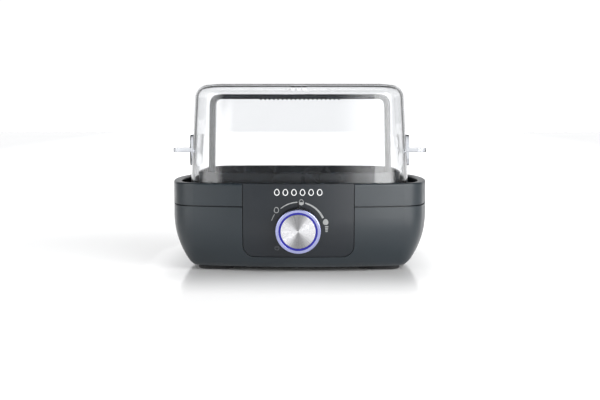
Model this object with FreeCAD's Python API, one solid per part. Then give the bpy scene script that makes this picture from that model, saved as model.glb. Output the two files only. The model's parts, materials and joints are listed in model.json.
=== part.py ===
"""Egg cooker for six eggs: a bowl-shaped base with a heated water pan, an egg rack with a bail
handle, a clear lid with two grips, and a lit timer knob on a curved front panel.

Millimetres. +X is the length, -Y the front with the knob, +Z up. Pieces are drawn about the base's
own middle and moved along Y when they are written, so that the origin lies on the table under the
middle of the whole object's box.
"""

import FreeCAD
import Part

import math
import os

from FreeCAD import Placement, Rotation, Vector

# ---------------------------------------------------------------- driving dimensions
# Eggs and their rack
egg_diameter = 45.0
egg_pitch_x = 51.6
egg_pitch_y = 48.0
egg_columns = 3
egg_rows = 2
egg_to_rack_side = 1.8
egg_to_rack_front = 2.5
seat_hole_radius = 16.6
seat_ring_wall = 3.0
seat_ring_height = 8.0
seat_slope = 2.2
rack_wall = 1.8
rack_height = 18.0
rack_plate = 2.0
rack_plate_drop = 9.0
rack_corner_radius = 23.5
rack_gap_to_lid = 4.5
steam_hole_radius = 2.6

# Bail handle of the rack
handle_height = 58.0
handle_thickness = 4.6
handle_width = 12.0
handle_inset = 5.5
handle_bend_radius = 9.0
handle_rounding = 2.1
handle_splay = 1.2
handle_rib_pitch = 3.3
handle_rib_count = 19
handle_rib_depth = 0.7
handle_socket_wall = 1.6
handle_socket_height = 6.0

# Lid
lid_wall = 2.0
lid_height = 84.9
lid_draft = 3.3
lid_edge_radius = 10.0
lid_crown_slope = 8.8
lid_flat_inset = 27.0
lid_front_radius = 500.0
lid_end_radius = 500.0
grip_height = 34.8
grip_width = 38.0
grip_reach = 13.5
grip_thickness = 3.0
grip_corner_radius = 7.0
grip_plate_height = 23.0
grip_plate_stand = 2.0
vent_count = 3
vent_width = 3.0
vent_pitch = 4.2
vent_height = 2.0
vent_drop = 4.5

# Base: housing and collar
lid_to_rim_end = 7.4
lid_to_rim_front = 4.0
rim_width = 6.0
base_front_radius = 300.0
base_end_radius = 160.0
base_corner_radius = 20.0
base_height = 65.0
collar_height = 16.5
seam_gap = 0.8
taper_inset = 12.1
taper_start = 25.0
bottom_edge_height = 3.5
bottom_edge_radius = 10.0
housing_wall = 2.5
collar_wall = 2.3
rim_thickness = 3.5
inner_wall = 2.1
tongue_wall = 1.2
tongue_clearance = 0.5
tongue_length = 3.4
deck_thickness = 4.0
deck_drop = 13.0
rim_edge_radius = 1.4

# Feet and base cover
foot_height = 3.5
foot_length = 27.0
foot_depth = 18.0
foot_corner_radius = 8.0
foot_edge = 1.8
foot_stem_radius = 3.0
foot_stem_length = 4.5
foot_from_end = 34.4
foot_from_side = 34.0
cover_thickness = 2.2
cover_clearance = 0.3
cover_vent_count = 7
cover_boss_radius = 3.8
cover_boss_height = 24.0
cover_boss_from_end = 23.0
cover_boss_y = 12.0

# Control panel and knob
panel_width = 79.4
panel_bottom = 12.0
panel_corner_radius = 8.0
panel_thickness = 2.2
panel_groove = 0.5
panel_seat_gap = 0.2
panel_seat_wall = 2.2
panel_seat_margin = 4.0
panel_peg_radius = 1.5
knob_height = 32.6
knob_radius = 16.1
knob_reach = 7.6
knob_gap = 0.9
trim_width = 2.2
trim_thickness = 1.0
glow_width = 1.4
cap_thickness = 0.8
cap_recess = 0.25
hub_web = 2.0
hub_radius = 5.4
shaft_radius = 3.0
shaft_flat = 1.5
running_clearance = 0.05

# Water pan and heater
pan_sheet = 0.8
pan_flange = 7.6
pan_depth = 10.0
pan_bend = 3.0
pan_to_deck = 0.8
gasket_height = 1.0
spreader_thickness = 2.0
spreader_margin = 20.0
element_radius = 3.2
element_margin = 9.0
element_bend = 12.0
element_tail_x = 9.0
element_tail = 14.0
braze_gap = 0.05

# Circuit board behind the panel
board_depth = 11.4
board_thickness = 1.6
board_width = 60.0
board_up = 13.0
board_down = 15.0

# Cord inlet
inlet_x = -40.0
inlet_height = 17.0
inlet_flat_depth = 8.2
inlet_recess_radius = 7.2
inlet_pad_wall = 1.0
inlet_hole_radius = 4.6
gland_flange_radius = 6.8
gland_flange = 2.0
gland_bore_radius = 3.3
gland_length = 10.5

# Fasteners and fits
screw_radius = 1.4
screw_head_radius = 2.9
screw_head_height = 2.0
screw_fit = 0.05
screw_clearance = 0.3
lead_radius = 0.9
lead_bend = 3.0
seat_clearance = 0.3
slot_clearance = 0.15

# ---------------------------------------------------------------- sizes that follow from these
rack_half_length = egg_pitch_x * (egg_columns - 1) / 2 + egg_diameter / 2 + egg_to_rack_side
rack_half_depth = egg_pitch_y * (egg_rows - 1) / 2 + egg_diameter / 2 + egg_to_rack_front
rack_inset = lid_wall + rack_gap_to_lid
lid_half_length = rack_half_length + rack_inset
lid_half_depth = rack_half_depth + rack_inset
lid_corner_radius = rack_corner_radius + rack_inset
base_half_length = lid_half_length + lid_to_rim_end + rim_width
base_half_depth = lid_half_depth + lid_to_rim_front + rim_width

base_bottom = foot_height
seam_z = base_height - collar_height
taper_z = base_height - taper_start
taper_drop = taper_z - base_bottom
taper_radius = (taper_drop ** 2 + taper_inset ** 2) / (2 * taper_inset)
edge_z = base_bottom + bottom_edge_height
deck_z = base_height - deck_drop
deck_bottom = deck_z - deck_thickness
flange_bottom = deck_z + gasket_height
flange_top = flange_bottom + pan_sheet
pan_floor = flange_top - pan_depth
pan_underside = pan_floor - pan_sheet
spreader_bottom = pan_underside - spreader_thickness
element_z = spreader_bottom - element_radius - braze_gap
rack_bottom = flange_top + seat_clearance
rack_top = rack_bottom + rack_height
plate_top = rack_top - rack_plate_drop
plate_bottom = plate_top - rack_plate
lid_bottom = deck_z + seat_clearance
lid_top = lid_bottom + lid_height
handle_top = rack_top + handle_height
cover_top = base_bottom + cover_thickness
panel_seat_face = panel_thickness + panel_seat_gap

flange_inset = lid_wall + rack_gap_to_lid - 1.5
well_inset = flange_inset + pan_flange
opening_inset = well_inset - pan_sheet - pan_to_deck

FAR = 400.0
Z = Vector(0, 0, 1)
CORNERS = [(sx, sy) for sx in (-1, 1) for sy in (-1, 1)]


# ---------------------------------------------------------------- shapes by rule
def meet(c1, r1, c2, r2):
    """The crossing of two circles that lies furthest to +X and -Y."""
    d = c2.sub(c1)
    along = (r1 * r1 - r2 * r2 + d.Length ** 2) / (2 * d.Length)
    side = math.sqrt(r1 * r1 - along * along)
    unit = Vector(d).normalize()
    across = Vector(-unit.y, unit.x, 0)
    points = [c1 + unit * along + across * side * s for s in (-1, 1)]
    return max(points, key=lambda p: p.x - p.y)


class Outline:
    """A rounded plan shape of eight tangent arcs: two long sides, two ends and four corners."""

    def __init__(self, half_length, half_depth, side_radius, end_radius, corner_radius):
        side = Vector(0, side_radius - half_depth, 0)
        end = Vector(half_length - end_radius, 0, 0)
        corner = meet(side, side_radius - corner_radius, end, end_radius - corner_radius)
        self.corner_radius = corner_radius
        self.corner = corner
        a = math.atan2(corner.y - side.y, corner.x)
        b = math.atan2(corner.y, corner.x - end.x)
        half = math.pi / 2
        right, front = (end, end_radius), (side, side_radius)
        left, rear = (Vector(-end.x, 0, 0), end_radius), (Vector(0, -side.y, 0), side_radius)

        def bend(sx, sy):
            return Vector(sx * corner.x, sy * abs(corner.y), 0), corner_radius

        spans = [
            (front, -math.pi - a, a),
            (bend(1, -1), a, b),
            (right, b, -b),
            (bend(1, 1), -b, -a),
            (rear, -a, math.pi + a),
            (bend(-1, 1), math.pi + a, math.pi + b),
            (left, math.pi + b, math.pi - b),
            (bend(-1, -1), math.pi - b, math.pi - a),
        ]
        self.arcs = []
        for (centre, radius), start, stop in spans:
            while stop < start:
                stop += 4 * half
            while stop - start > 4 * half:
                stop -= 4 * half
            self.arcs.append((centre, radius, start, stop))

    def wire(self, inset, z):
        edges = []
        for centre, radius, start, stop in self.arcs:
            circle = Part.Circle(Vector(centre.x, centre.y, z), Z, radius - inset)
            edges.append(Part.ArcOfCircle(circle, start, stop).toShape())
        return Part.Wire(Part.__sortEdges__(edges))

    def prism(self, inset, z0, z1):
        return Part.Face(self.wire(inset, z0)).extrude(Vector(0, 0, z1 - z0))

    def sweep(self, section):
        """Carries a closed section, drawn with x as the inset and z as the height, right round."""
        sectors = []
        for centre, radius, start, stop in self.arcs:
            face = section.copy()
            face.rotate(Vector(), Z, 180 + math.degrees(start))
            rim = Vector(math.cos(start), math.sin(start), 0) * radius
            face.translate(Vector(centre.x, centre.y, 0) + rim)
            sectors.append(face.revolve(centre, Z, math.degrees(stop - start)))
        return sectors[0].multiFuse(sectors[1:]).removeSplitter()

    def solid(self, section, core_inset, z0, z1):
        """The same, with the middle filled by a prism from z0 to z1."""
        sides = self.sweep(section)
        return sides.fuse(self.prism(core_inset, z0, z1)).removeSplitter()


def section_face(steps):
    """A face from steps of (inset, height), or (inset, height, middle inset, middle height) for an arc."""
    points = [Vector(s[0], 0, s[1]) for s in steps]
    edges = []
    for i, step in enumerate(steps):
        start, stop = points[i - 1], points[i]
        if len(step) == 4:
            middle = Vector(step[2], 0, step[3])
            edges.append(Part.Arc(start, middle, stop).toShape())
        else:
            edges.append(Part.LineSegment(start, stop).toShape())
    return Part.Face(Part.Wire(edges))


def box(x0, x1, y0, y1, z0, z1):
    return Part.makeBox(x1 - x0, y1 - y0, z1 - z0, Vector(x0, y0, z0))


def rod(radius, start, stop):
    """A cylinder between two points."""
    start, stop = Vector(start), Vector(stop)
    return Part.makeCylinder(radius, (stop - start).Length, start, stop - start)


def tube(outer, inner, start, stop):
    return rod(outer, start, stop).cut(rod(inner, start, stop))


def rounded_plate(x0, x1, y0, y1, z0, z1, radius):
    """A box whose four upright edges are rounded."""
    plate = box(x0, x1, y0, y1, z0, z1)
    upright = [e for e in plate.Edges if abs(e.tangentAt(e.FirstParameter).z) > 0.9]
    return plate.makeFillet(radius, upright)


def fuse(first, *others):
    return first.multiFuse(list(others)).removeSplitter()


def cut(first, *others):
    shape = first
    for other in others:
        shape = shape.cut(other)
    return shape


def bent_path(points, radius):
    """Straight runs through the points, joined by tangent arcs."""
    points = [Vector(p) for p in points]
    edges = []
    start = points[0]
    for before, here, after in zip(points, points[1:], points[2:]):
        u = (before - here).normalize()
        v = (after - here).normalize()
        half_angle = u.getAngle(v) / 2
        shorter = min((before - here).Length, (after - here).Length)
        reach = min(radius / math.tan(half_angle), 0.45 * shorter)
        r = reach * math.tan(half_angle)
        middle = here + (u + v).normalize() * (r / math.sin(half_angle) - r)
        edges.append(Part.LineSegment(start, here + u * reach).toShape())
        edges.append(Part.Arc(here + u * reach, middle, here + v * reach).toShape())
        start = here + v * reach
    edges.append(Part.LineSegment(start, points[-1]).toShape())
    return Part.Wire(edges)


def bent_rod(points, radius, bend):
    """A round rod along a bent path."""
    path = bent_path(points, bend)
    first = path.Edges[0]
    circle = Part.Circle(first.Vertexes[0].Point, first.tangentAt(first.FirstParameter), radius)
    return path.makePipeShell([Part.Wire(circle.toShape())], True, False)


def screw(head_base, direction, length):
    """A pan-head screw: its head stands on head_base, and its shank goes the other way."""
    base, axis = Vector(head_base), Vector(direction).normalize()
    head = rod(screw_head_radius, base, base - axis * screw_head_height)
    slot = box(-0.4, 0.4, -2.0, 2.0, -0.9, 0.1)
    cross = slot.fuse(slot.copy().rotate(Vector(), Z, 90))
    cross.Placement = Placement(base - axis * screw_head_height, Rotation(Z, axis * -1))
    return fuse(head.cut(cross), rod(screw_radius, base, base + axis * length))


# ---------------------------------------------------------------- plan shapes and the base's taper
base_plan = Outline(
    base_half_length, base_half_depth, base_front_radius, base_end_radius, base_corner_radius
)
lid_plan = Outline(
    lid_half_length, lid_half_depth, lid_front_radius, lid_end_radius, lid_corner_radius
)
CORE = base_corner_radius - 1.0


def taper(z):
    """How far the base's side has come in at a height."""
    drop = max(0.0, taper_z - max(z, edge_z))
    inset = taper_radius - math.sqrt(taper_radius ** 2 - drop ** 2)
    if z < edge_z:
        upper = math.asin(drop / taper_radius)
        lower = math.asin(math.sin(upper) + (edge_z - z) / bottom_edge_radius)
        inset += bottom_edge_radius * (math.cos(upper) - math.cos(lower))
    return inset


def base_solid(inset, z0=base_bottom, z1=base_height):
    """The base's outer shape, moved in by inset and cut off at two heights."""
    middle_z = (taper_z + edge_z) / 2
    low_z = (edge_z + z0) / 2
    section = section_face(
        [
            (CORE, z0),
            (inset + taper(z0), z0),
            (inset + taper(edge_z), edge_z, inset + taper(low_z), low_z),
            (inset, taper_z, inset + taper(middle_z), middle_z),
            (inset, z1),
            (CORE, z1),
        ]
    )
    return base_plan.solid(section, CORE, z0, z1)


_layers = {}


def layer(inset):
    """The base's outer shape moved in by inset, kept for the next use."""
    if inset not in _layers:
        _layers[inset] = base_solid(inset)
    return _layers[inset].copy()


def skin(outer, inner):
    """The part of the base between two insets."""
    return layer(outer).cut(layer(inner))


def panel_window(margin):
    """A block from front to back with the panel's outline, grown by margin."""
    half = panel_width / 2 + margin
    low, high = panel_bottom - margin, base_height + 1
    radius = panel_corner_radius + margin
    front, back = -base_half_depth - 5, -base_half_depth / 2
    block = box(-half, half, front, back, low, high)
    lower = [
        e
        for e in block.Edges
        if abs(e.tangentAt(e.FirstParameter).y) > 0.9 and e.CenterOfMass.z < low + 1
    ]
    return block.makeFillet(radius, lower)


# The knob's own frame: its origin on the panel's face, +Z out along the knob's axis, +Y up the panel.
panel_tilt = math.degrees(math.asin((taper_z - knob_height) / taper_radius))
knob_frame = Placement(
    Vector(0, -base_half_depth + taper(knob_height), knob_height),
    Rotation(Vector(1, 0, 0), 90 + panel_tilt),
)


def in_knob_frame(shape):
    placed = shape.copy()
    placed.Placement = knob_frame.multiply(placed.Placement)
    return placed


# ---------------------------------------------------------------- base
def collar_section():
    """Rim, outer skirt, inner wall and locating tongue in one section, open below."""
    rim_in, wall_in = rim_width, rim_width - inner_wall
    tongue_out = housing_wall + tongue_clearance
    under = base_height - rim_thickness
    e = rim_edge_radius
    d = e * (1 - math.sqrt(0.5))
    return section_face(
        [
            (0, seam_z + seam_gap / 2),
            (0, base_height - e),
            (e, base_height, d, base_height - d),
            (rim_in - e, base_height),
            (rim_in, base_height - e, rim_in - d, base_height - d),
            (rim_in, deck_bottom),
            (tongue_out + tongue_wall, deck_bottom),
            (tongue_out + tongue_wall, seam_z - tongue_length),
            (tongue_out, seam_z - tongue_length),
            (tongue_out, under if tongue_out > wall_in else deck_z),
            (wall_in, under if tongue_out > wall_in else deck_z),
            (wall_in, under),
            (collar_wall, under),
            (collar_wall, seam_z + seam_gap / 2),
        ]
    )


def collar_boss_places():
    x = base_plan.corner.x + 9.4
    y = abs(base_plan.corner.y) - 9.0
    return [(sx * x, sy * y) for sx, sy in CORNERS]


collar_boss_radius = 3.5
lug_radius = 7.0
lug_thickness = 3.7
collar_boss_bottom = deck_bottom - 4.0
lug_top = collar_boss_bottom - seat_clearance
lug_bottom = lug_top - lug_thickness


def make_collar():
    """The upper ring: rim, skirt, the deck that carries the pan, and four screw bosses."""
    ring = base_plan.sweep(collar_section())
    deck = base_plan.prism(rim_width - 1, deck_bottom, deck_z)
    deck = deck.cut(lid_plan.prism(opening_inset, deck_bottom - 1, deck_z + 1))
    bosses = [
        rod(collar_boss_radius, (x, y, collar_boss_bottom), (x, y, deck_bottom + 1))
        for x, y in collar_boss_places()
    ]
    shape = fuse(ring, deck, *bosses)
    window = panel_window(panel_groove)
    recess = window.cut(layer(panel_seat_face))
    half = panel_width / 2 + panel_seat_margin + 2
    below = box(-half, half, -FAR, -base_half_depth / 2, 0, deck_bottom)
    shape = cut(shape, recess, below)
    pilots = [
        rod(screw_radius + screw_fit, (x, y, collar_boss_bottom - 1), (x, y, deck_z - 1))
        for x, y in collar_boss_places()
    ]
    strap_pilots = [
        rod(screw_radius + screw_fit, (x, y, deck_bottom - 1), (x, y, deck_z - 0.4))
        for x, y in strap_screw_places()
    ]
    return cut(shape, *pilots, *strap_pilots)


def cover_boss_places():
    x = base_half_length - cover_boss_from_end
    return [(sx * x, sy * cover_boss_y) for sx, sy in CORNERS]


def peg_places():
    """Where the panel's four pegs pass through its seat, in the knob's frame."""
    half = panel_width / 2 - 5
    return [(sx * half, y) for sx in (-1, 1) for y in (-12.0, 10.0)]


def board_post_places():
    half = board_width / 2 - 4
    return [(sx * half, y) for sx in (-1, 1) for y in (-board_down + 4, board_up - 4)]


def make_housing():
    """The bowl: its wall, the panel's seat, lugs for the collar, bosses for the cover, the inlet."""
    top = seam_z - seam_gap / 2
    shell = skin(0, housing_wall)
    seat_block = box(
        -panel_width / 2 - panel_seat_margin,
        panel_width / 2 + panel_seat_margin,
        -FAR,
        -base_half_depth / 2,
        panel_bottom - panel_seat_margin,
        min(top, deck_bottom - seat_clearance),
    )
    seat = skin(panel_seat_face, panel_seat_face + panel_seat_wall).common(seat_block)
    inside = layer(housing_wall - 0.1)
    lugs = []
    for x, y in collar_boss_places():
        reach = x + math.copysign(30, x)
        lugs.append(rod(lug_radius, (x, y, lug_bottom), (x, y, lug_top)))
        lugs.append(
            box(min(x, reach), max(x, reach), y - lug_radius, y + lug_radius, lug_bottom, lug_top)
        )
    pads = []
    for x, y in cover_boss_places():
        boss_top = cover_top + cover_boss_height
        pads.append(rod(cover_boss_radius, (x, y, cover_top), (x, y, boss_top)))
        reach = x + math.copysign(30, x)
        rib = box(min(x, reach), max(x, reach), y - 1, y + 1, cover_top, boss_top - 2)
        pads.append(rib.common(inside))
    posts = [
        in_knob_frame(rod(3.0, (u, v, -board_depth), (u, v, -5.5))) for u, v in board_post_places()
    ]
    inlet_face = base_half_depth - inlet_flat_depth - inlet_sag()
    pad_radius = inlet_recess_radius + inlet_pad_wall
    pad = rod(
        pad_radius,
        (inlet_x, inlet_face - housing_wall - 1, inlet_height),
        (inlet_x, inlet_face + FAR, inlet_height),
    ).common(layer(0.5))
    shape = fuse(shell, seat, *[lug.common(inside) for lug in lugs], *pads, *posts, pad)
    window = panel_window(panel_groove)
    above = box(-FAR, FAR, -FAR, FAR, top, base_height + 1)
    recess = rod(
        inlet_recess_radius,
        (inlet_x, inlet_face, inlet_height),
        (inlet_x, inlet_face + FAR, inlet_height),
    )
    hole = rod(
        inlet_hole_radius,
        (inlet_x, inlet_face - 10, inlet_height),
        (inlet_x, inlet_face + 1, inlet_height),
    )
    light_hole = in_knob_frame(rod(light_hole_radius, (0, 0, -20), (0, 0, 5)))
    holes = [
        in_knob_frame(rod(panel_peg_radius + 0.2, (u, v, -20), (u, v, 5))) for u, v in peg_places()
    ]
    holes += [
        in_knob_frame(rod(1.0 + screw_fit, (u, v, -board_depth - 1), (u, v, -7.2)))
        for u, v in board_post_places()
    ]
    holes += [
        rod(screw_radius + screw_clearance, (x, y, lug_bottom - 1), (x, y, lug_top + 1))
        for x, y in collar_boss_places()
    ]
    holes += [
        rod(screw_radius + screw_fit, (x, y, cover_top - 1), (x, y, cover_top + 14))
        for x, y in cover_boss_places()
    ]
    return cut(
        shape, window.cut(layer(panel_seat_face)), above, recess, hole, light_hole, *holes
    )


def inlet_sag():
    """How far the rear has curved forward at the inlet."""
    return base_front_radius - math.sqrt(base_front_radius ** 2 - inlet_x ** 2)


def make_control_panel():
    """The curved front plate, with a round opening for the knob's light and four pegs behind."""
    plate = skin(0, panel_thickness).common(panel_window(0))
    pegs = []
    for u, v in peg_places():
        peg = in_knob_frame(rod(panel_peg_radius, (u, v, -9.5), (u, v, 5)))
        pegs.append(peg.common(layer(panel_thickness / 2)))
    shape = fuse(plate, *pegs)
    return shape.cut(in_knob_frame(rod(light_hole_radius, (0, 0, -20), (0, 0, 5))))


def foot_places():
    x = base_half_length - foot_from_end
    y = base_half_depth - foot_from_side
    return [(sx * x, sy * y) for sx, sy in CORNERS]


def make_foot(x, y):
    """A rubber pad with a stem that pushes into the cover."""
    pad = rounded_plate(
        x - foot_length / 2,
        x + foot_length / 2,
        y - foot_depth / 2,
        y + foot_depth / 2,
        0,
        foot_height,
        foot_corner_radius,
    )
    lower = [e for e in pad.Edges if e.BoundBox.ZMax < 0.01]
    pad = pad.makeFillet(foot_edge, lower)
    stem = rod(foot_stem_radius, (x, y, foot_height - 0.5), (x, y, foot_height + foot_stem_length))
    return fuse(pad, stem)


def make_base_cover():
    """The flat underside, with cooling slots and sunk screw holes."""
    plate = base_plan.prism(
        taper(base_bottom) + housing_wall + cover_clearance, base_bottom, cover_top
    )
    holes = []
    for x, y in foot_places():
        holes.append(rod(foot_stem_radius + 0.1, (x, y, 0), (x, y, FAR)))
    for x, y in cover_boss_places():
        holes.append(rod(screw_radius + screw_clearance, (x, y, 0), (x, y, FAR)))
        holes.append(rod(screw_head_radius + 0.4, (x, y, 0), (x, y, base_bottom + 1.2)))
    for i in range(cover_vent_count):
        x = (i - (cover_vent_count - 1) / 2) * 7.0
        holes.append(rounded_plate(x - 1.25, x + 1.25, -12, 12, 0, 20, 1.2))
    return cut(plate, *holes)


def make_cover_screws():
    bodies = [screw((x, y, base_bottom + 1.2), (0, 0, 1), 13.0) for x, y in cover_boss_places()]
    return Part.makeCompound(bodies)


def make_collar_screws():
    length = deck_z - 1.5 - lug_bottom
    bodies = [screw((x, y, lug_bottom), (0, 0, 1), length) for x, y in collar_boss_places()]
    return Part.makeCompound(bodies)


def make_cord_gland():
    """A flanged bush in the rear wall, bored for a round cord."""
    face = base_half_depth - inlet_flat_depth - inlet_sag()
    x, z = inlet_x, inlet_height
    outer_end = face + gland_flange
    inner_end = outer_end - gland_length
    flange = rod(gland_flange_radius, (x, face, z), (x, outer_end, z))
    rim = [e for e in flange.Edges if e.BoundBox.YMin > outer_end - 0.01]
    flange = flange.makeFillet(0.7, rim)
    barrel = rod(inlet_hole_radius - 0.15, (x, inner_end, z), (x, face + 0.5, z))
    bore = rod(gland_bore_radius, (x, inner_end - 1, z), (x, outer_end + 1, z))
    return fuse(flange, barrel).cut(bore)


# ---------------------------------------------------------------- water pan and heater
def make_heating_pan():
    """A drawn steel dish with a flat flange."""
    inner, outer = well_inset, well_inset - pan_sheet
    core = lid_flat_inset
    r_in, r_out = pan_bend, pan_bend + pan_sheet
    k = 1 - math.sqrt(0.5)
    section = section_face(
        [
            (core, pan_underside),
            (outer + r_out, pan_underside),
            (outer, pan_underside + r_out, outer + r_out * k, pan_underside + r_out * k),
            (outer, flange_bottom),
            (flange_inset, flange_bottom),
            (flange_inset, flange_top),
            (inner, flange_top),
            (inner, pan_floor + r_in),
            (inner + r_in, pan_floor, inner + r_in * k, pan_floor + r_in * k),
            (core, pan_floor),
        ]
    )
    return lid_plan.solid(section, core, pan_underside, pan_floor)


def make_pan_gasket():
    section = section_face(
        [
            (opening_inset, deck_z),
            (flange_inset + 1, deck_z),
            (flange_inset + 1, flange_bottom),
            (opening_inset, flange_bottom),
        ]
    )
    return lid_plan.sweep(section)


spreader_half_length = lid_half_length - well_inset - spreader_margin
spreader_half_depth = lid_half_depth - well_inset - spreader_margin / 2
element_half_length = spreader_half_length - element_margin
element_half_depth = spreader_half_depth - element_margin
bracket_half = 22.0
bracket_screw_x = 17.0


def make_heat_spreader():
    """The plate that spreads the element's heat under the pan."""
    plate = rounded_plate(
        -spreader_half_length,
        spreader_half_length,
        -spreader_half_depth,
        spreader_half_depth,
        spreader_bottom,
        pan_underside,
        12.0,
    )
    pilots = [
        rod(screw_radius + screw_fit, (x, 0, spreader_bottom - 1), (x, 0, pan_underside - 0.4))
        for x in (-bracket_screw_x, bracket_screw_x)
    ]
    return cut(plate, *pilots)


def element_ends():
    y = element_half_depth + element_tail
    return [(sx * element_tail_x, y) for sx in (-1, 1)]


def make_heating_element():
    """A sheathed element in an open loop, with both tails to the rear."""
    a, b, z = element_half_length, element_half_depth, element_z
    (left, rear), (right, _) = element_ends()
    points = [
        (right, rear, z),
        (right, b, z),
        (a, b, z),
        (a, -b, z),
        (-a, -b, z),
        (-a, b, z),
        (left, b, z),
        (left, rear, z),
    ]
    return bent_rod(points, element_radius, element_bend)


def make_element_terminals():
    """A ceramic bead and a pin at each end of the element."""
    pieces = []
    for x, y in element_ends():
        start, end = (x, y, element_z), (x, y + 4, element_z)
        pieces.append(tube(element_radius - 0.3, 1.3, start, end))
        pieces.append(rod(1.2, start, (x, y + 9, element_z)))
    return Part.makeCompound(pieces)


thermostat_radius = 8.0
thermostat_flange = 1.0
thermostat_height = 6.7
blade_length = 6.0


def make_thermostat():
    """A disc thermostat pressed against the spreader, with two blades below."""
    body = rod(thermostat_radius, (0, 0, spreader_bottom - thermostat_height), (0, 0, spreader_bottom))
    flange = rod(10.0, (0, 0, spreader_bottom - thermostat_flange), (0, 0, spreader_bottom))
    low = spreader_bottom - thermostat_height
    blades = [box(x - 0.4, x + 0.4, -3, 3, low - blade_length, low + 1) for x in (-4, 4)]
    return fuse(body, flange, *blades)


def make_thermostat_bracket():
    """The strap that holds the thermostat's flange up, with a spacer at each screw."""
    top = spreader_bottom - thermostat_flange
    plate = rounded_plate(-bracket_half, bracket_half, -10.5, 10.5, top - 1, top, 3.0)
    spacers = [rod(3.0, (x, 0, top - 0.5), (x, 0, spreader_bottom)) for x in (-17, 17)]
    hole = rod(thermostat_radius + 0.3, (0, 0, 0), (0, 0, FAR))
    holes = [
        rod(screw_radius + screw_clearance, (x, 0, 0), (x, 0, FAR))
        for x in (-bracket_screw_x, bracket_screw_x)
    ]
    return cut(fuse(plate, *spacers), hole, *holes)


def make_bracket_screws():
    z = spreader_bottom - thermostat_flange - 1
    bodies = [screw((x, 0, z), (0, 0, 1), 3.4) for x in (-bracket_screw_x, bracket_screw_x)]
    return Part.makeCompound(bodies)


def make_thermal_fuse():
    """A fuse in a woven sleeve under the spreader."""
    y, z = -15.5, spreader_bottom - 2.6
    body = rod(1.6, (-7, y, z), (7, y, z))
    leads = rod(0.5, (-12, y, z), (12, y, z))
    sleeve = tube(2.3, 1.7, (-8, y, z), (8, y, z))
    return Part.makeCompound([fuse(body, leads), sleeve])


def make_temperature_sensor():
    """A sensor in a metal cup against the spreader."""
    x, y = 28.5, 9.0
    cup = rod(3.0, (x, y, spreader_bottom - 6), (x, y, spreader_bottom))
    collar = rod(4.0, (x, y, spreader_bottom - 1), (x, y, spreader_bottom))
    return fuse(cup, collar)


def make_earth_tab():
    x, y = -30.0, element_half_depth + 6.2
    foot = box(x - 4, x + 4, y - 1.2, y + 0.4, spreader_bottom - 0.8, spreader_bottom)
    blade = box(x - 3, x + 3, y - 0.4, y + 0.4, spreader_bottom - 7, spreader_bottom - 0.4)
    return fuse(foot, blade)


strap_width = 10.0
strap_sheet = 1.2
strap_flange = 8.4


def strap_x():
    return spreader_half_length + strap_width / 2 + 3.0


def strap_leg():
    """Where a strap's leg stands clear of the pan's well."""
    return lid_half_depth - opening_inset


def strap_reach():
    """Where a strap's flange ends, clear of the collar's tongue."""
    x = strap_x() + strap_width / 2
    sag = base_front_radius - math.sqrt(base_front_radius ** 2 - x ** 2)
    tongue = base_half_depth - sag - housing_wall - tongue_clearance - tongue_wall
    return min(strap_leg() + strap_flange, tongue - 0.5)


def strap_screw_places():
    y = (strap_leg() + strap_reach()) / 2 + 0.6
    return [(sx * strap_x(), sy * y) for sx, sy in CORNERS]


def make_pan_strap(side):
    """A sheet strap under the pan, screwed to the underside of the deck at both ends."""
    x0, x1 = side * strap_x() - strap_width / 2, side * strap_x() + strap_width / 2
    leg, s = strap_leg(), strap_sheet
    low = pan_underside - s
    outer, flange = leg + s, strap_reach()
    bar = box(x0, x1, -outer, outer, low, pan_underside)
    parts = [bar]
    for sy in (-1, 1):
        y0, y1 = sorted((sy * leg, sy * outer))
        parts.append(box(x0, x1, y0, y1, low, deck_bottom))
        y0, y1 = sorted((sy * leg, sy * flange))
        parts.append(box(x0, x1, y0, y1, deck_bottom - s, deck_bottom))
    holes = [
        rod(screw_radius + screw_clearance, (x, y, deck_bottom - 5), (x, y, deck_bottom + 1))
        for x, y in strap_screw_places()
        if x * side > 0
    ]
    return cut(fuse(*parts), *holes)


def make_strap_screws():
    z = deck_bottom - strap_sheet
    return Part.makeCompound([screw((x, y, z), (0, 0, 1), 4.4) for x, y in strap_screw_places()])


# ---------------------------------------------------------------- board behind the panel
pipe_outer = 13.8
pipe_inner = 12.1
light_hole_radius = pipe_outer + 0.3
pot_half = 8.2
pot_front = -5.0
bushing_radius = 3.5
board_back = -board_depth - board_thickness


def knob_rod(radius, w0, w1, u=0.0, v=0.0):
    return rod(radius, (u, v, w0), (u, v, w1))


def make_control_board():
    """The circuit board, parallel to the panel, with its four screw holes."""
    plate = box(
        -board_width / 2, board_width / 2, -board_down, board_up, board_back, -board_depth
    )
    holes = [knob_rod(1.6, board_back - 1, -board_depth + 1, u, v) for u, v in board_post_places()]
    return in_knob_frame(cut(plate, *holes))


def make_board_screws():
    pieces = []
    for u, v in board_post_places():
        head = knob_rod(2.2, board_back - 1.5, board_back, u, v)
        pieces.append(in_knob_frame(fuse(head, knob_rod(1.0, board_back - 0.5, -7.5, u, v))))
    return Part.makeCompound(pieces)


def make_potentiometer():
    """The timer's potentiometer: a square body and the bushing that guides the shaft."""
    body = box(-pot_half, pot_half, -pot_half, pot_half, -board_depth, pot_front)
    bushing = knob_rod(bushing_radius, pot_front - 0.5, -0.2)
    bore = knob_rod(shaft_radius + running_clearance, -9.2, 2)
    return in_knob_frame(fuse(body, bushing).cut(bore))


def make_board_leds():
    """Eight lamps in a ring under the light pipe."""
    pieces = []
    for i in range(8):
        lamp = box(-1.3, 1.3, -1.0, 1.0, -board_depth, -board_depth + 1.2)
        lamp.translate(Vector((pipe_outer + pipe_inner) / 2, 0, 0))
        lamp.rotate(Vector(), Z, 45 * i + 22.5)
        pieces.append(in_knob_frame(lamp))
    return Part.makeCompound(pieces)


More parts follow.
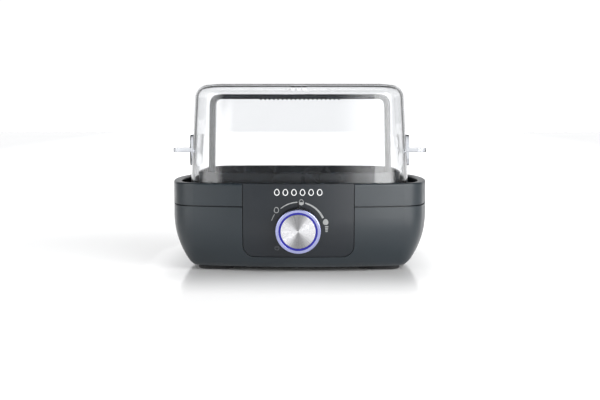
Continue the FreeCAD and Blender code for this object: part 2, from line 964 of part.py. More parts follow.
def make_light_pipe():
    """A clear cup that carries the lamps' light to the back of the knob."""
    sleeve = knob_rod(pipe_outer, -9.9, 0.1).cut(knob_rod(pipe_inner, -11, 2))
    web = knob_rod(pipe_inner + 0.5, -2.0, -0.6)
    ears = box(-pipe_outer - 3.0, pipe_outer + 3.0, -4, 4, -9.0, -8.0)
    ears = ears.cut(knob_rod(pipe_inner, -10, -7))
    shape = fuse(sleeve, web, ears).cut(knob_rod(bushing_radius + 0.3, -5, 2))
    return in_knob_frame(shape)


def make_relay():
    body = rounded_plate(-23, -11, -11, 5, board_back - 11, board_back, 0.8)
    return in_knob_frame(body)


def make_capacitor():
    can = knob_rod(4.0, board_back - 12, board_back, -5.5, -6)
    rim = [e for e in can.Edges if e.BoundBox.ZMax < board_back - 11.9]
    return in_knob_frame(can.makeFillet(0.8, rim))


def make_buzzer():
    can = knob_rod(6.0, board_back - 5, board_back, 18, -4)
    return in_knob_frame(can.cut(knob_rod(1.0, board_back - 6, board_back - 3, 18, -4)))


connector_u = 5.0
connector_v = -8.0


def make_board_connector():
    body = box(
        connector_u - 4, connector_u + 4, connector_v - 2.4, connector_v + 2.4,
        board_back - 7, board_back,
    )
    return in_knob_frame(body)


# ---------------------------------------------------------------- wiring
block_x = -28.0
block_y = 26.0
block_top = cover_top + 9.5
block_half_length = 12.0
block_half_depth = 6.0


def make_terminal_block():
    """Where the mains cord's cores meet the inner leads."""
    body = rounded_plate(
        block_x - block_half_length,
        block_x + block_half_length,
        block_y - block_half_depth,
        block_y + block_half_depth,
        cover_top,
        block_top,
        1.0,
    )
    wells = [rod(1.6, (block_x + dx, block_y - 3, block_top - 3), (block_x + dx, block_y - 3, FAR))
             for dx in (-8, 0, 8)]
    return cut(body, *wells)


def lead(points):
    return bent_rod(points, lead_radius, lead_bend)


def make_lead_live():
    """Terminal block to thermostat."""
    low = spreader_bottom - thermostat_height - blade_length
    x, y = block_x - 8, block_y + 2
    return lead([(x, y, block_top), (x, y, block_top + 5), (-4, 12, block_top + 5),
                 (-4, 0, block_top + 5), (-4, 0, low)])


def make_lead_switched():
    """Thermostat to one end of the element."""
    low = spreader_bottom - thermostat_height - blade_length
    x, y = element_ends()[1]
    back = y + 15
    return lead([(4, 0, low), (4, 0, low - 5), (x, 24, low - 5), (x, back, low - 5),
                 (x, back, element_z), (x, y + 9, element_z)])


def make_lead_neutral():
    """Terminal block to the other end of the element."""
    x, y = element_ends()[0]
    back = y + 15
    sx, sy, z = block_x, block_y + 2, block_top + 8.5
    return lead([(sx, sy, block_top), (sx, sy, z), (sx, back, z), (x, back, z),
                 (x, back, element_z), (x, y + 9, element_z)])


def make_lead_earth():
    """Terminal block to the tab on the spreader."""
    x, y = -30.0, element_half_depth + 6.2
    sx, sy, z = block_x + 8, block_y + 2, block_top + 11.5
    return lead([(sx, sy, block_top), (sx, sy, z), (x, y, z), (x, y, spreader_bottom - 7)])


def make_lead_board():
    """Terminal block to the board's connector."""
    end = knob_frame.multVec(Vector(connector_u, connector_v, board_back - 7))
    back = knob_frame.multVec(Vector(connector_u, connector_v, board_back - 12))
    x, y, z = block_x - 8, block_y - block_half_depth, cover_top + 5
    return lead([(x, y, z), (x, 0, z), (back.x, back.y + 8, z), back, end])


# ---------------------------------------------------------------- knob
glow_outer = knob_radius - trim_width
glow_inner = glow_outer - glow_width
knob_front = knob_reach
trim_back = knob_front - trim_thickness
cap_front = knob_front - cap_recess
cap_back = cap_front - cap_thickness


def make_knob_sleeve():
    """The knob's black side wall, finely fluted, with a pointer at the top."""
    wall = knob_rod(knob_radius, knob_gap, trim_back).cut(knob_rod(glow_outer, 0, 20))
    pointer = box(-0.8, 0.8, knob_radius - 0.6, knob_radius + 0.9, knob_gap, trim_back)
    flutes = []
    for i in range(48):
        flute = knob_rod(0.5, knob_gap - 1, trim_back + 1, knob_radius + 0.22)
        flute.rotate(Vector(), Z, 7.5 * i + 3.75)
        flutes.append(flute)
    return in_knob_frame(fuse(cut(wall, Part.makeCompound(flutes)), pointer))


def make_knob_trim_ring():
    """The bright ring round the knob's face."""
    ring = knob_rod(knob_radius, trim_back, knob_front).cut(knob_rod(glow_outer, 0, 20))
    rim = [
        e
        for e in ring.Edges
        if e.BoundBox.ZMin > knob_front - 0.01 and e.BoundBox.XMax > glow_outer + 0.5
    ]
    return in_knob_frame(ring.makeFillet(0.6, rim))


def make_knob_glow_ring():
    """The translucent ring that glows round the cap."""
    ring = knob_rod(glow_outer, knob_gap + 0.3, knob_front - 0.1)
    return in_knob_frame(ring.cut(knob_rod(glow_inner, -1, 20)))


def make_knob_cap():
    """The turned metal disc."""
    disc = knob_rod(glow_inner, cap_back, cap_front)
    rim = [e for e in disc.Edges if e.BoundBox.ZMin > cap_front - 0.01]
    return in_knob_frame(disc.makeChamfer(0.25, rim))


def shaft_keep(clearance):
    """The half-space that leaves a shaft its flat, as a block."""
    return box(-10, 10, shaft_radius - shaft_flat + clearance, 10, 1.0, 20)


def make_knob_hub():
    """The disc under the cap and the hub that grips the shaft."""
    disc = knob_rod(glow_inner, cap_back - hub_web, cap_back)
    hub = knob_rod(hub_radius, knob_gap + 0.3, cap_back - hub_web + 0.5)
    bore = knob_rod(shaft_radius + running_clearance, 0, cap_back - 0.8)
    bore = bore.cut(shaft_keep(clip_space))
    return in_knob_frame(fuse(disc, hub).cut(bore))


clip_space = 0.6
clip_sheet = 0.4


def make_knob_shaft():
    """The potentiometer's shaft, with a flat at the knob's end."""
    bar = knob_rod(shaft_radius, -9.0, cap_back - 1.0)
    return in_knob_frame(bar.cut(shaft_keep(0)))


def make_knob_clip():
    """The leaf spring between the shaft's flat and the hub."""
    low = shaft_radius - shaft_flat + 0.1
    return in_knob_frame(box(-2.0, 2.0, low, low + clip_sheet, 1.6, cap_back - 1.2))


# ---------------------------------------------------------------- rack and handle
def egg_places():
    xs = [(i - (egg_columns - 1) / 2) * egg_pitch_x for i in range(egg_columns)]
    ys = [(j - (egg_rows - 1) / 2) * egg_pitch_y for j in range(egg_rows)]
    return [(x, y) for y in ys for x in xs]


handle_x = rack_half_length - handle_inset - handle_thickness / 2


def make_egg_rack():
    """The rack: its wall, plate, six conical seats, steam holes and the handle's sockets."""
    e = rack_wall / 2
    k = e * (1 - math.sqrt(0.5))
    wall_in = rack_inset + rack_wall
    section = section_face(
        [
            (wall_in, rack_bottom),
            (rack_inset, rack_bottom),
            (rack_inset, rack_top - e),
            (rack_inset + e, rack_top, rack_inset + k, rack_top - k),
            (wall_in, rack_top - e, wall_in - k, rack_top - k),
        ]
    )
    wall = lid_plan.sweep(section)
    plate = lid_plan.prism(rack_inset + rack_wall / 2, plate_bottom, plate_top)
    ring_top = plate_top + seat_ring_height / 2
    ring_low = ring_top - seat_ring_height
    rings, bowls, notches = [], [], []
    for x, y in egg_places():
        outer = seat_hole_radius + seat_ring_wall
        rings.append(rod(outer, (x, y, ring_low), (x, y, ring_top)))
        bowls.append(rod(seat_hole_radius, (x, y, ring_low - 1), (x, y, ring_top + 1)))
        cone = Part.makeCone(
            seat_hole_radius, seat_hole_radius + seat_slope, seat_ring_height / 2,
            Vector(x, y, ring_top - seat_ring_height / 2),
        )
        bowls.append(cone)
        for turn in (45, 135):
            notch = box(-outer - 1, outer + 1, -2, 2, ring_top - 2, ring_top + 1)
            notch.rotate(Vector(), Z, turn)
            notch.translate(Vector(x, y, 0))
            notches.append(notch)
    sockets, slots = [], []
    for sx in (-1, 1):
        x = sx * handle_x
        half_x, half_y = handle_thickness / 2, handle_width / 2
        g, w = slot_clearance, handle_socket_wall
        sockets.append(
            box(x - half_x - w, x + half_x + w, -half_y - w, half_y + w,
                plate_bottom, plate_top + handle_socket_height)
        )
        slots.append(
            box(x - half_x - g, x + half_x + g, -half_y - g, half_y + g,
                plate_bottom - 1, plate_top + handle_socket_height + 1)
        )
    holes = []
    for i in range(egg_columns - 1):
        x = (i - (egg_columns - 2) / 2) * egg_pitch_x
        for dx in (-steam_hole_radius * 1.7, steam_hole_radius * 1.7):
            holes.append(rod(steam_hole_radius, (x + dx, 0, 0), (x + dx, 0, FAR)))
    shape = fuse(wall, plate, *rings, *sockets)
    return cut(shape, *bowls, *notches, *slots, *holes)


def make_rack_handle():
    """The bail: two legs that clip through the rack's plate, and a ribbed bar between them."""
    half, t = handle_width / 2, handle_thickness
    top, low = handle_top, plate_bottom - 2.0
    x_out, x_in = handle_x + t / 2, handle_x - t / 2
    start = plate_top + handle_socket_height
    lean = handle_splay
    r = handle_bend_radius

    def frame_face(edge_x, edge_top, radius, dip):
        """One outline of the bail in the XZ plane, from its foot up and over."""
        points = [
            (-edge_x, 0, dip),
            (-edge_x, 0, start),
            (-edge_x + lean, 0, edge_top),
            (edge_x - lean, 0, edge_top),
            (edge_x, 0, start),
            (edge_x, 0, dip),
        ]
        path = [Vector(p) for p in points]
        edges = [Part.LineSegment(path[0], path[1]).toShape()]
        edges += bent_path(path[1:5], radius).Edges
        edges.append(Part.LineSegment(path[4], path[5]).toShape())
        edges.append(Part.LineSegment(path[5], path[0]).toShape())
        return Part.Face(Part.Wire(edges))

    outside = frame_face(x_out, top, r, low)
    inside = frame_face(x_in, top - t, r - t, low - 5)
    bail = outside.cut(inside).extrude(Vector(0, 2 * half, 0))
    bail.translate(Vector(0, -half, 0))
    ribs = []
    for i in range(handle_rib_count):
        x = (i - (handle_rib_count - 1) / 2) * handle_rib_pitch
        ribs.append(rod(handle_rib_depth, (x, -half + 1, top - t), (x, half - 1, top - t)))
    barbs = []
    for sx in (-1, 1):
        x0, x1 = sorted((sx * (x_out - 0.5), sx * (x_out + 1.0)))
        barbs.append(box(x0, x1, -2.5, 2.5, low, plate_bottom - 0.2))
    round_off = [
        e
        for e in bail.Edges
        if abs(abs(e.CenterOfMass.y) - half) < 0.01 and e.CenterOfMass.z > start + 0.1
    ]
    bail = bail.makeFillet(handle_rounding, round_off)
    return fuse(bail, *ribs, *barbs)


# ---------------------------------------------------------------- lid
def lid_section():
    """The lid's wall, shoulder and roof edge, as an even skin whose roof rises towards the middle."""
    wall_heading = math.radians(90 - lid_draft)
    roof_heading = math.radians(lid_crown_slope)
    r = lid_edge_radius
    run = r * (math.sin(wall_heading) - math.sin(roof_heading))
    rise = r * (math.cos(roof_heading) - math.cos(wall_heading))
    lean = math.tan(math.radians(lid_draft))
    roof_rise = math.tan(roof_heading / 2)
    height = lid_top - lid_bottom - lid_flat_inset * roof_rise - rise
    shoulder_in = (run + height * lean) / (1 - roof_rise * lean)
    shoulder_z = lid_top - (lid_flat_inset - shoulder_in) * roof_rise
    roof_radius = (lid_flat_inset - shoulder_in) / math.sin(roof_heading)

    def on_shoulder(heading, depth):
        """A point on the shoulder arc, depth below the outer face."""
        t = shoulder_in - r * (math.sin(heading) - math.sin(roof_heading))
        z = shoulder_z - r * (math.cos(roof_heading) - math.cos(heading))
        return t + depth * math.sin(heading), z - depth * math.cos(heading)

    def on_roof(heading, depth):
        t = lid_flat_inset - roof_radius * math.sin(heading)
        z = lid_top - roof_radius * (1 - math.cos(heading))
        return t + depth * math.sin(heading), z - depth * math.cos(heading)

    mid_shoulder = (wall_heading + roof_heading) / 2
    foot_in = lid_wall / math.sin(wall_heading)
    w = lid_wall
    return section_face(
        [
            (0, lid_bottom),
            on_shoulder(wall_heading, 0),
            on_roof(roof_heading, 0) + on_shoulder(mid_shoulder, 0),
            on_roof(0, 0) + on_roof(roof_heading / 2, 0),
            on_roof(0, w),
            on_roof(roof_heading, w) + on_roof(roof_heading / 2, w),
            on_shoulder(wall_heading, w) + on_shoulder(mid_shoulder, w),
            (foot_in, lid_bottom),
        ]
    )


def lid_face_x(z):
    """The outer face of the lid's end wall at a height."""
    return lid_half_length - (z - lid_bottom) * math.tan(math.radians(lid_draft))


def make_lid():
    """The clear lid: shell, two grips with their backing plates, and steam slots at the front."""
    shell = lid_plan.solid(lid_section(), lid_flat_inset, lid_top - lid_wall, lid_top)
    z = lid_bottom + grip_height
    half_y, half_z = grip_width / 2, grip_plate_height / 2
    inner = lid_face_x(z + half_z) - lid_wall * 0.6
    outer = lid_face_x(z) + grip_plate_stand
    reach = lid_face_x(z) + grip_reach + grip_plate_stand
    plate = box(inner, outer, -half_y, half_y, z - half_z, z + half_z)
    sides = [e for e in plate.Edges if abs(e.tangentAt(e.FirstParameter).x) > 0.9]
    plate = plate.makeFillet(4.0, sides)
    tab = box(outer - 1, reach, -half_y + 1, half_y - 1, z - grip_thickness / 2, z + grip_thickness / 2)
    tips = [
        e for e in tab.Edges
        if abs(e.tangentAt(e.FirstParameter).z) > 0.9 and e.CenterOfMass.x > reach - 0.1
    ]
    tab = tab.makeFillet(grip_corner_radius, tips)
    grips = []
    for turn in (0, 180):
        for piece in (plate, tab):
            copy = piece.copy()
            copy.rotate(Vector(), Z, turn)
            grips.append(copy)
    slots = []
    for i in range(vent_count):
        x = (i - (vent_count - 1) / 2) * vent_pitch
        z1 = lid_top - vent_drop
        slots.append(
            box(x - vent_width / 2, x + vent_width / 2, -lid_half_depth - 5, -lid_half_depth + 20,
                z1 - vent_height / 2, z1 + vent_height / 2)
        )
    return cut(fuse(shell, *grips), *slots)


# ---------------------------------------------------------------- every piece by name
PIECES = {
    "housing": make_housing,
    "collar": make_collar,
    "control_panel": make_control_panel,
    "base_cover": make_base_cover,
    "cover_screws": make_cover_screws,
    "collar_screws": make_collar_screws,
    "cord_gland": make_cord_gland,
    "heating_pan": make_heating_pan,
    "pan_gasket": make_pan_gasket,
    "heat_spreader": make_heat_spreader,
    "heating_element": make_heating_element,
    "element_terminals": make_element_terminals,
    "thermostat": make_thermostat,
    "thermostat_bracket": make_thermostat_bracket,
    "bracket_screws": make_bracket_screws,
    "thermal_fuse": make_thermal_fuse,
    "temperature_sensor": make_temperature_sensor,
    "earth_tab": make_earth_tab,
    "pan_strap_left": lambda: make_pan_strap(-1),
    "pan_strap_right": lambda: make_pan_strap(1),
    "strap_screws": make_strap_screws,
    "control_board": make_control_board,
    "board_screws": make_board_screws,
    "potentiometer": make_potentiometer,
    "board_leds": make_board_leds,
    "light_pipe": make_light_pipe,
    "relay": make_relay,
    "capacitor": make_capacitor,
    "buzzer": make_buzzer,
    "board_connector": make_board_connector,
    "terminal_block": make_terminal_block,
    "lead_live": make_lead_live,
    "lead_switched": make_lead_switched,
    "lead_neutral": make_lead_neutral,
    "lead_earth": make_lead_earth,
    "lead_board": make_lead_board,
    "knob_sleeve": make_knob_sleeve,
    "knob_trim_ring": make_knob_trim_ring,
    "knob_glow_ring": make_knob_glow_ring,
    "knob_cap": make_knob_cap,
    "knob_hub": make_knob_hub,
    "knob_shaft": make_knob_shaft,
    "knob_clip": make_knob_clip,
    "egg_rack": make_egg_rack,
    "rack_handle": make_rack_handle,
    "lid": make_lid,
}
for (sign_x, sign_y), place in zip(CORNERS, foot_places()):
    name = f"foot_{'front' if sign_y < 0 else 'rear'}_{'left' if sign_x < 0 else 'right'}"
    PIECES[name] = lambda place=place: make_foot(*place)


def knob_front_y():
    """The furthest forward that the knob reaches."""
    edge = Vector(0, knob_radius, knob_reach)
    return min(knob_frame.multVec(edge).y, knob_frame.multVec(Vector(0, 0, knob_reach)).y)


origin_shift = -(base_half_depth + knob_front_y()) / 2


def main():
    os.makedirs("parts", exist_ok=True)
    for name, make in PIECES.items():
        shape = make()
        shape.translate(Vector(0, origin_shift, 0))
        for solid in shape.Solids:
            if not solid.isValid() or not solid.isClosed():
                raise RuntimeError(f"{name} has a solid that is open or invalid")
        shape.exportStep(f"parts/{name}.step")
        b = shape.BoundBox
        print(f"{name}: {len(shape.Solids)} solids, {shape.Volume / 1000:.2f} cm3, "
              f"x {b.XMin:.1f}..{b.XMax:.1f} y {b.YMin:.1f}..{b.YMax:.1f} z {b.ZMin:.1f}..{b.ZMax:.1f}")
    print(f"origin shift {origin_shift:.3f}, panel tilt {panel_tilt:.3f}")


if __name__ == "__main__":
    main()
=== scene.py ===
"""Looks of a six-egg steam cooker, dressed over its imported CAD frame.

Everything is in metres in the frame's own axes: +X is the length, -Y the front with the knob, +Z up.
"""

import json
import logging
import math
from collections.abc import Iterable, Sequence
from dataclasses import dataclass, field
from enum import Enum
from typing import Protocol

import bmesh
import bpy
from mathutils import Euler, Matrix, Vector
from mathutils.bvhtree import BVHTree


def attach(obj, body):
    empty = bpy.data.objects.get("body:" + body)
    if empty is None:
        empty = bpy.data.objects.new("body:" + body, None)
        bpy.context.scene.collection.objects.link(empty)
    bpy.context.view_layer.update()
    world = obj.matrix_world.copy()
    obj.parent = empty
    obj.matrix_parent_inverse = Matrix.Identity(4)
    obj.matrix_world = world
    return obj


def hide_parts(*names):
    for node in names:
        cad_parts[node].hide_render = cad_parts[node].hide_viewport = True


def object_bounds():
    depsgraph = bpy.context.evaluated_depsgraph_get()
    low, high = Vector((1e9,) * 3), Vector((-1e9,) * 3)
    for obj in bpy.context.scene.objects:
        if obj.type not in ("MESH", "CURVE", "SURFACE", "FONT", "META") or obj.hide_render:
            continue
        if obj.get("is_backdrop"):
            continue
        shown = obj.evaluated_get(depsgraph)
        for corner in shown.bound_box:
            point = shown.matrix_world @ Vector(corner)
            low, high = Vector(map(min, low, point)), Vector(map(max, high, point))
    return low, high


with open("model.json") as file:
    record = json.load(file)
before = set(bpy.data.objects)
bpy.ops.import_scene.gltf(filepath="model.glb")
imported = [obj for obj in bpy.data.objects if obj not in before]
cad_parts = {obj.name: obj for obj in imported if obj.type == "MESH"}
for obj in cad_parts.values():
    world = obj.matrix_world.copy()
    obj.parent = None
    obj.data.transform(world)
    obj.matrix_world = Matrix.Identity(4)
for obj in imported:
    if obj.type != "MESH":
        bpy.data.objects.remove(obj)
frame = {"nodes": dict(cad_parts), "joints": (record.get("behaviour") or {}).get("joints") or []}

logging.basicConfig(level=logging.INFO, format="%(message)s")
log = logging.getLogger("egg_cooker")

MM = 0.001
Color = tuple[float, float, float]
Point2 = tuple[float, float]
Point3 = tuple[float, float, float]
Ramp = tuple[float, float, float, float]
Strip = list[tuple[Point2, Point2]]


# ---------------------------------------------------------------- shader work
class ShaderTree:
    """One material's node tree, with the joins that the finishes share."""

    def __init__(self, name: str) -> None:
        """Start a material.

        Args:
            name: The finish's name.
        """
        self.material = bpy.data.materials.new(name)
        self.material.use_nodes = True
        self.tree = self.material.node_tree
        self.shader = self.tree.nodes["Principled BSDF"]
        self.output = self.tree.nodes["Material Output"]
        self.coords = self.add("ShaderNodeTexCoord").outputs["Object"]

    def add(self, kind: str) -> bpy.types.Node:
        """Add a node of a kind and return it."""
        return self.tree.nodes.new(kind)

    def link(self, source: bpy.types.NodeSocket, target: bpy.types.NodeSocket) -> None:
        """Join two sockets."""
        self.tree.links.new(source, target)

    def fix(self, **values: float | Color) -> None:
        """Set the shader's own sockets.

        Args:
            **values: Socket names with underscores for spaces, and their values.
        """
        for key, value in values.items():
            socket = self.shader.inputs[key.replace("_", " ")]
            socket.default_value = (*value, 1.0) if isinstance(value, tuple) else value

    def stretched(self, scale: Point3) -> bpy.types.NodeSocket:
        """Object coordinates scaled along each axis.

        Args:
            scale: The factor along X, Y and Z.

        Returns:
            The scaled vector's socket.
        """
        mapping = self.add("ShaderNodeMapping")
        mapping.inputs["Scale"].default_value = scale
        self.link(self.coords, mapping.inputs["Vector"])
        return mapping.outputs["Vector"]

    def noise(
        self, size: float, detail: float = 4.0, vector: bpy.types.NodeSocket | None = None
    ) -> bpy.types.NodeSocket:
        """Cloudy noise.

        Args:
            size: The size of its patches in metres.
            detail: How many finer layers it has.
            vector: Coordinates to use in place of the object's.

        Returns:
            A value from 0 to 1.
        """
        node = self.add("ShaderNodeTexNoise")
        node.inputs["Scale"].default_value = 1.0 / size
        node.inputs["Detail"].default_value = detail
        self.link(vector or self.coords, node.inputs["Vector"])
        return node.outputs["Fac"]

    def cells(self, size: float) -> bpy.types.NodeSocket:
        """Cell noise.

        Args:
            size: The size of a cell in metres.

        Returns:
            The distance to the nearest cell's middle.
        """
        node = self.add("ShaderNodeTexVoronoi")
        node.inputs["Scale"].default_value = 1.0 / size
        self.link(self.coords, node.inputs["Vector"])
        return node.outputs["Distance"]

    def spread(
        self,
        value: bpy.types.NodeSocket,
        low: float,
        high: float,
        to_low: float,
        to_high: float,
        eased: bool = False,
    ) -> bpy.types.NodeSocket:
        """Carry a value from one range to another, clamped.

        Args:
            value: What to carry.
            low: The lower end of its range.
            high: The upper end of its range.
            to_low: What low becomes.
            to_high: What high becomes.
            eased: Whether it starts and stops gently.

        Returns:
            The new value's socket.
        """
        node = self.add("ShaderNodeMapRange")
        node.interpolation_type = "SMOOTHSTEP" if eased else "LINEAR"
        for index, number in enumerate((low, high, to_low, to_high), start=1):
            node.inputs[index].default_value = number
        self.link(value, node.inputs[0])
        return node.outputs[0]

    def sum_up(
        self, operation: str, first: bpy.types.NodeSocket, second: bpy.types.NodeSocket | float = 0.0
    ) -> bpy.types.NodeSocket:
        """Work out one value from one or two others.

        Args:
            operation: The kind of sum.
            first: The first value.
            second: The second value, which some kinds don't use.

        Returns:
            The result's socket.
        """
        node = self.add("ShaderNodeMath")
        node.operation = operation
        self.link(first, node.inputs[0])
        if isinstance(second, float):
            node.inputs[1].default_value = second
        else:
            self.link(second, node.inputs[1])
        return node.outputs[0]

    def vector_sum(
        self, operation: str, first: bpy.types.NodeSocket, second: Point3 = (0.0, 0.0, 0.0)
    ) -> bpy.types.Node:
        """Work out a vector from another.

        Args:
            operation: The kind of sum.
            first: The vector.
            second: The second vector, which some kinds don't use.

        Returns:
            The node, whose outputs are the vector and its length.
        """
        node = self.add("ShaderNodeVectorMath")
        node.operation = operation
        self.link(first, node.inputs[0])
        node.inputs[1].default_value = second
        return node

    def blend(
        self, factor: bpy.types.NodeSocket, first: Color, second: Color
    ) -> bpy.types.NodeSocket:
        """Mix two colours by a value.

        Args:
            factor: 0 for the first colour, 1 for the second.
            first: The first colour.
            second: The second colour.

        Returns:
            The mixed colour's socket.
        """
        node = self.add("ShaderNodeMix")
        node.data_type = "RGBA"
        self.link(factor, node.inputs[0])
        node.inputs[6].default_value = (*first, 1.0)
        node.inputs[7].default_value = (*second, 1.0)
        return node.outputs[2]

    def mottle(self, color: Color, amount: float, size: float) -> None:
        """Let the base colour drift a little over the surface.

        Args:
            color: The middle colour.
            amount: How far it drifts, as a share.
            size: How large the patches are, in metres.
        """
        dark = tuple(c * (1 - amount) for c in color)
        pale = tuple(min(1.0, c * (1 + amount)) for c in color)
        drift = self.spread(self.noise(size), 0.3, 0.7, 0.0, 1.0)
        self.link(self.blend(drift, dark, pale), self.shader.inputs["Base Color"])

    def worn(self, roughness: float, change: float, size: float) -> None:
        """Let the roughness vary in patches, as handling leaves it.

        Args:
            roughness: The middle roughness.
            change: How far it goes either way.
            size: How large the patches are, in metres.
        """
        patches = self.spread(
            self.noise(size, 5.0), 0.3, 0.7, roughness - change, roughness + change
        )
        self.link(patches, self.shader.inputs["Roughness"])

    def bump(self, height: bpy.types.NodeSocket, depth: float, edge: float = 0.0) -> None:
        """Raise the surface by a value.

        Args:
            height: The value.
            depth: How high 1 stands, in metres.
            edge: How far sharp edges are softened, in metres.
        """
        node = self.add("ShaderNodeBump")
        node.inputs["Distance"].default_value = depth
        node.inputs["Strength"].default_value = 1.0
        self.link(height, node.inputs["Height"])
        if edge > 0:
            bevel = self.add("ShaderNodeBevel")
            bevel.samples = 4
            bevel.inputs["Radius"].default_value = edge
            self.link(bevel.outputs["Normal"], node.inputs["Normal"])
        self.link(node.outputs["Normal"], self.shader.inputs["Normal"])


class Finish(Protocol):
    """What a surface is made of and how it was finished."""

    name: str

    def material(self) -> bpy.types.Material:
        """Build the material.

        Returns:
            The material.
        """
        ...


@dataclass(frozen=True)
class MouldedPlastic:
    """Injection-moulded plastic with a fine eroded grain and softened edges."""

    name: str
    color: Color
    roughness: float = 0.4
    specular: float = 0.5
    grain: float = 0.5 * MM
    depth: float = 0.006 * MM
    mottling: float = 0.07
    edge: float = 0.35 * MM

    def material(self) -> bpy.types.Material:
        """Build the material.

        Returns:
            The material.
        """
        tree = ShaderTree(self.name)
        tree.mottle(self.color, self.mottling, 24 * MM)
        tree.worn(self.roughness, 0.035, 16 * MM)
        tree.fix(Specular_IOR_Level=self.specular, IOR=1.5)
        tree.bump(tree.noise(self.grain, 2.0), self.depth, self.edge)
        return tree.material


@dataclass(frozen=True)
class ClearPlastic:
    """Clear moulded plastic, greyer where it is thick, with the faint waves that a mould leaves."""

    name: str
    tint: Color
    roughness: float = 0.01
    ior: float = 1.49
    wave: float = 0.004 * MM
    body: Color = (0.80, 0.81, 0.83)
    density: float = 75.0

    def material(self) -> bpy.types.Material:
        """Build the material.

        Returns:
            The material.
        """
        tree = ShaderTree(self.name)
        tree.mottle(self.tint, 0.004, 30 * MM)
        tree.worn(self.roughness + 0.006, 0.006, 40 * MM)
        tree.fix(Transmission_Weight=1.0, IOR=self.ior)
        tree.bump(tree.noise(14 * MM, 1.0), self.wave)
        depth = tree.add("ShaderNodeVolumeAbsorption")
        depth.inputs["Color"].default_value = (*self.body, 1.0)
        depth.inputs["Density"].default_value = self.density
        tree.link(depth.outputs[0], tree.output.inputs["Volume"])
        return tree.material


@dataclass(frozen=True)
class BrushedSheet:
    """Rolled or brushed sheet metal, with lines along one axis and faint water marks."""

    name: str
    color: Color
    roughness: float = 0.28
    along: Point3 = (0.04, 1.0, 1.0)

    def material(self) -> bpy.types.Material:
        """Build the material.

        Returns:
            The material.
        """
        tree = ShaderTree(self.name)
        lines = tree.noise(0.25 * MM, 3.0, tree.stretched(self.along))
        marks = tree.noise(9 * MM, 6.0)
        shade = tree.blend(
            tree.spread(marks, 0.35, 0.7, 0.0, 1.0),
            self.color,
            tuple(0.9 * c for c in self.color),
        )
        tree.link(shade, tree.shader.inputs["Base Color"])
        tree.worn(self.roughness, 0.07, 11 * MM)
        tree.fix(Metallic=1.0)
        tree.bump(lines, 0.004 * MM, 0.25 * MM)
        return tree.material


@dataclass(frozen=True)
class PlatedSheet:
    """Zinc-plated steel with its crystal spangle."""

    name: str
    color: Color
    roughness: float = 0.42

    def material(self) -> bpy.types.Material:
        """Build the material.

        Returns:
            The material.
        """
        tree = ShaderTree(self.name)
        spangle = tree.spread(tree.cells(2.5 * MM), 0.0, 0.8, 0.0, 1.0)
        shade = tree.blend(spangle, self.color, tuple(0.75 * c for c in self.color))
        tree.link(shade, tree.shader.inputs["Base Color"])
        tree.worn(self.roughness, 0.08, 3 * MM)
        tree.fix(Metallic=1.0)
        tree.bump(tree.noise(0.6 * MM), 0.004 * MM, 0.15 * MM)
        return tree.material


@dataclass(frozen=True)
class TurnedFace:
    """Metal faced on a lathe: fine rings about the piece's own Z axis, which spread the light, with
    painted highlight wedges and streaks in the base colour.
    """

    name: str
    color: Color
    roughness: float = 0.3
    anisotropy: float = 0.85
    pitch: float = 0.16 * MM
    painted_wedge_depth: float = 0.26
    painted_ray_count: float = 90.0
    painted_ray_depth: float = 0.15

    def painted_highlight_wedges(self, tree: ShaderTree) -> bpy.types.NodeSocket:
        """Paint highlight wedges into the tone: it swings twice round the face, pale at the sides and
        dark at top and bottom, with fine painted streaks, standing in for the light that turned metal
        spreads.

        Args:
            tree: The face's nodes.

        Returns:
            The base colour's socket.
        """
        turn = tree.add("ShaderNodeTexGradient")
        turn.gradient_type = "RADIAL"
        tree.link(tree.coords, turn.inputs["Vector"])
        painted_swing = tree.sum_up("MULTIPLY", turn.outputs["Fac"], 4 * math.pi)
        # painted highlight: pale wedges at the sides, dark wedges at top and bottom
        wave = tree.spread(tree.sum_up("COSINE", painted_swing), -1.0, 1.0, 0.0, 1.0 - self.painted_ray_depth)
        painted_ray_noise = tree.add("ShaderNodeTexNoise")
        painted_ray_noise.noise_dimensions = "1D"
        painted_ray_noise.inputs["Scale"].default_value = self.painted_ray_count
        tree.link(turn.outputs["Fac"], painted_ray_noise.inputs["W"])
        # painted streaks of highlight running out from the middle
        fine = tree.spread(painted_ray_noise.outputs["Fac"], 0.3, 0.7, -self.painted_ray_depth, self.painted_ray_depth)
        dark = tuple(c * (1 - 2 * self.painted_wedge_depth) for c in self.color)
        pale = tuple(min(1.0, c * (1 + self.painted_wedge_depth)) for c in self.color)
        return tree.blend(tree.sum_up("ADD", wave, fine), dark, pale)

    def material(self) -> bpy.types.Material:
        """Build the material.

        Returns:
            The material.
        """
        tree = ShaderTree(self.name)
        rings = tree.add("ShaderNodeTexWave")
        rings.wave_type = "RINGS"
        rings.rings_direction = "Z"
        rings.inputs["Scale"].default_value = 2 * math.pi / (20 * self.pitch)
        rings.inputs["Distortion"].default_value = 0.6
        tree.link(tree.coords, rings.inputs["Vector"])
        tangent = tree.add("ShaderNodeTangent")
        tangent.direction_type = "RADIAL"
        tangent.axis = "Z"
        tree.link(tangent.outputs["Tangent"], tree.shader.inputs["Tangent"])
        tree.link(self.painted_highlight_wedges(tree), tree.shader.inputs["Base Color"])
        tree.worn(self.roughness, 0.03, 2 * MM)
        tree.fix(Metallic=1.0, Anisotropic=self.anisotropy, Anisotropic_Rotation=0.25)
        tree.bump(rings.outputs["Fac"], 0.0012 * MM)
        return tree.material


@dataclass(frozen=True)
class SatinPlate:
    """Satin electroplate on a moulded ring."""

    name: str
    color: Color
    roughness: float = 0.22

    def material(self) -> bpy.types.Material:
        """Build the material.

        Returns:
            The material.
        """
        tree = ShaderTree(self.name)
        tree.mottle(self.color, 0.03, 4 * MM)
        tree.worn(self.roughness, 0.04, 3 * MM)
        tree.fix(Metallic=1.0)
        tree.bump(tree.noise(0.2 * MM, 2.0), 0.001 * MM, 0.3 * MM)
        return tree.material


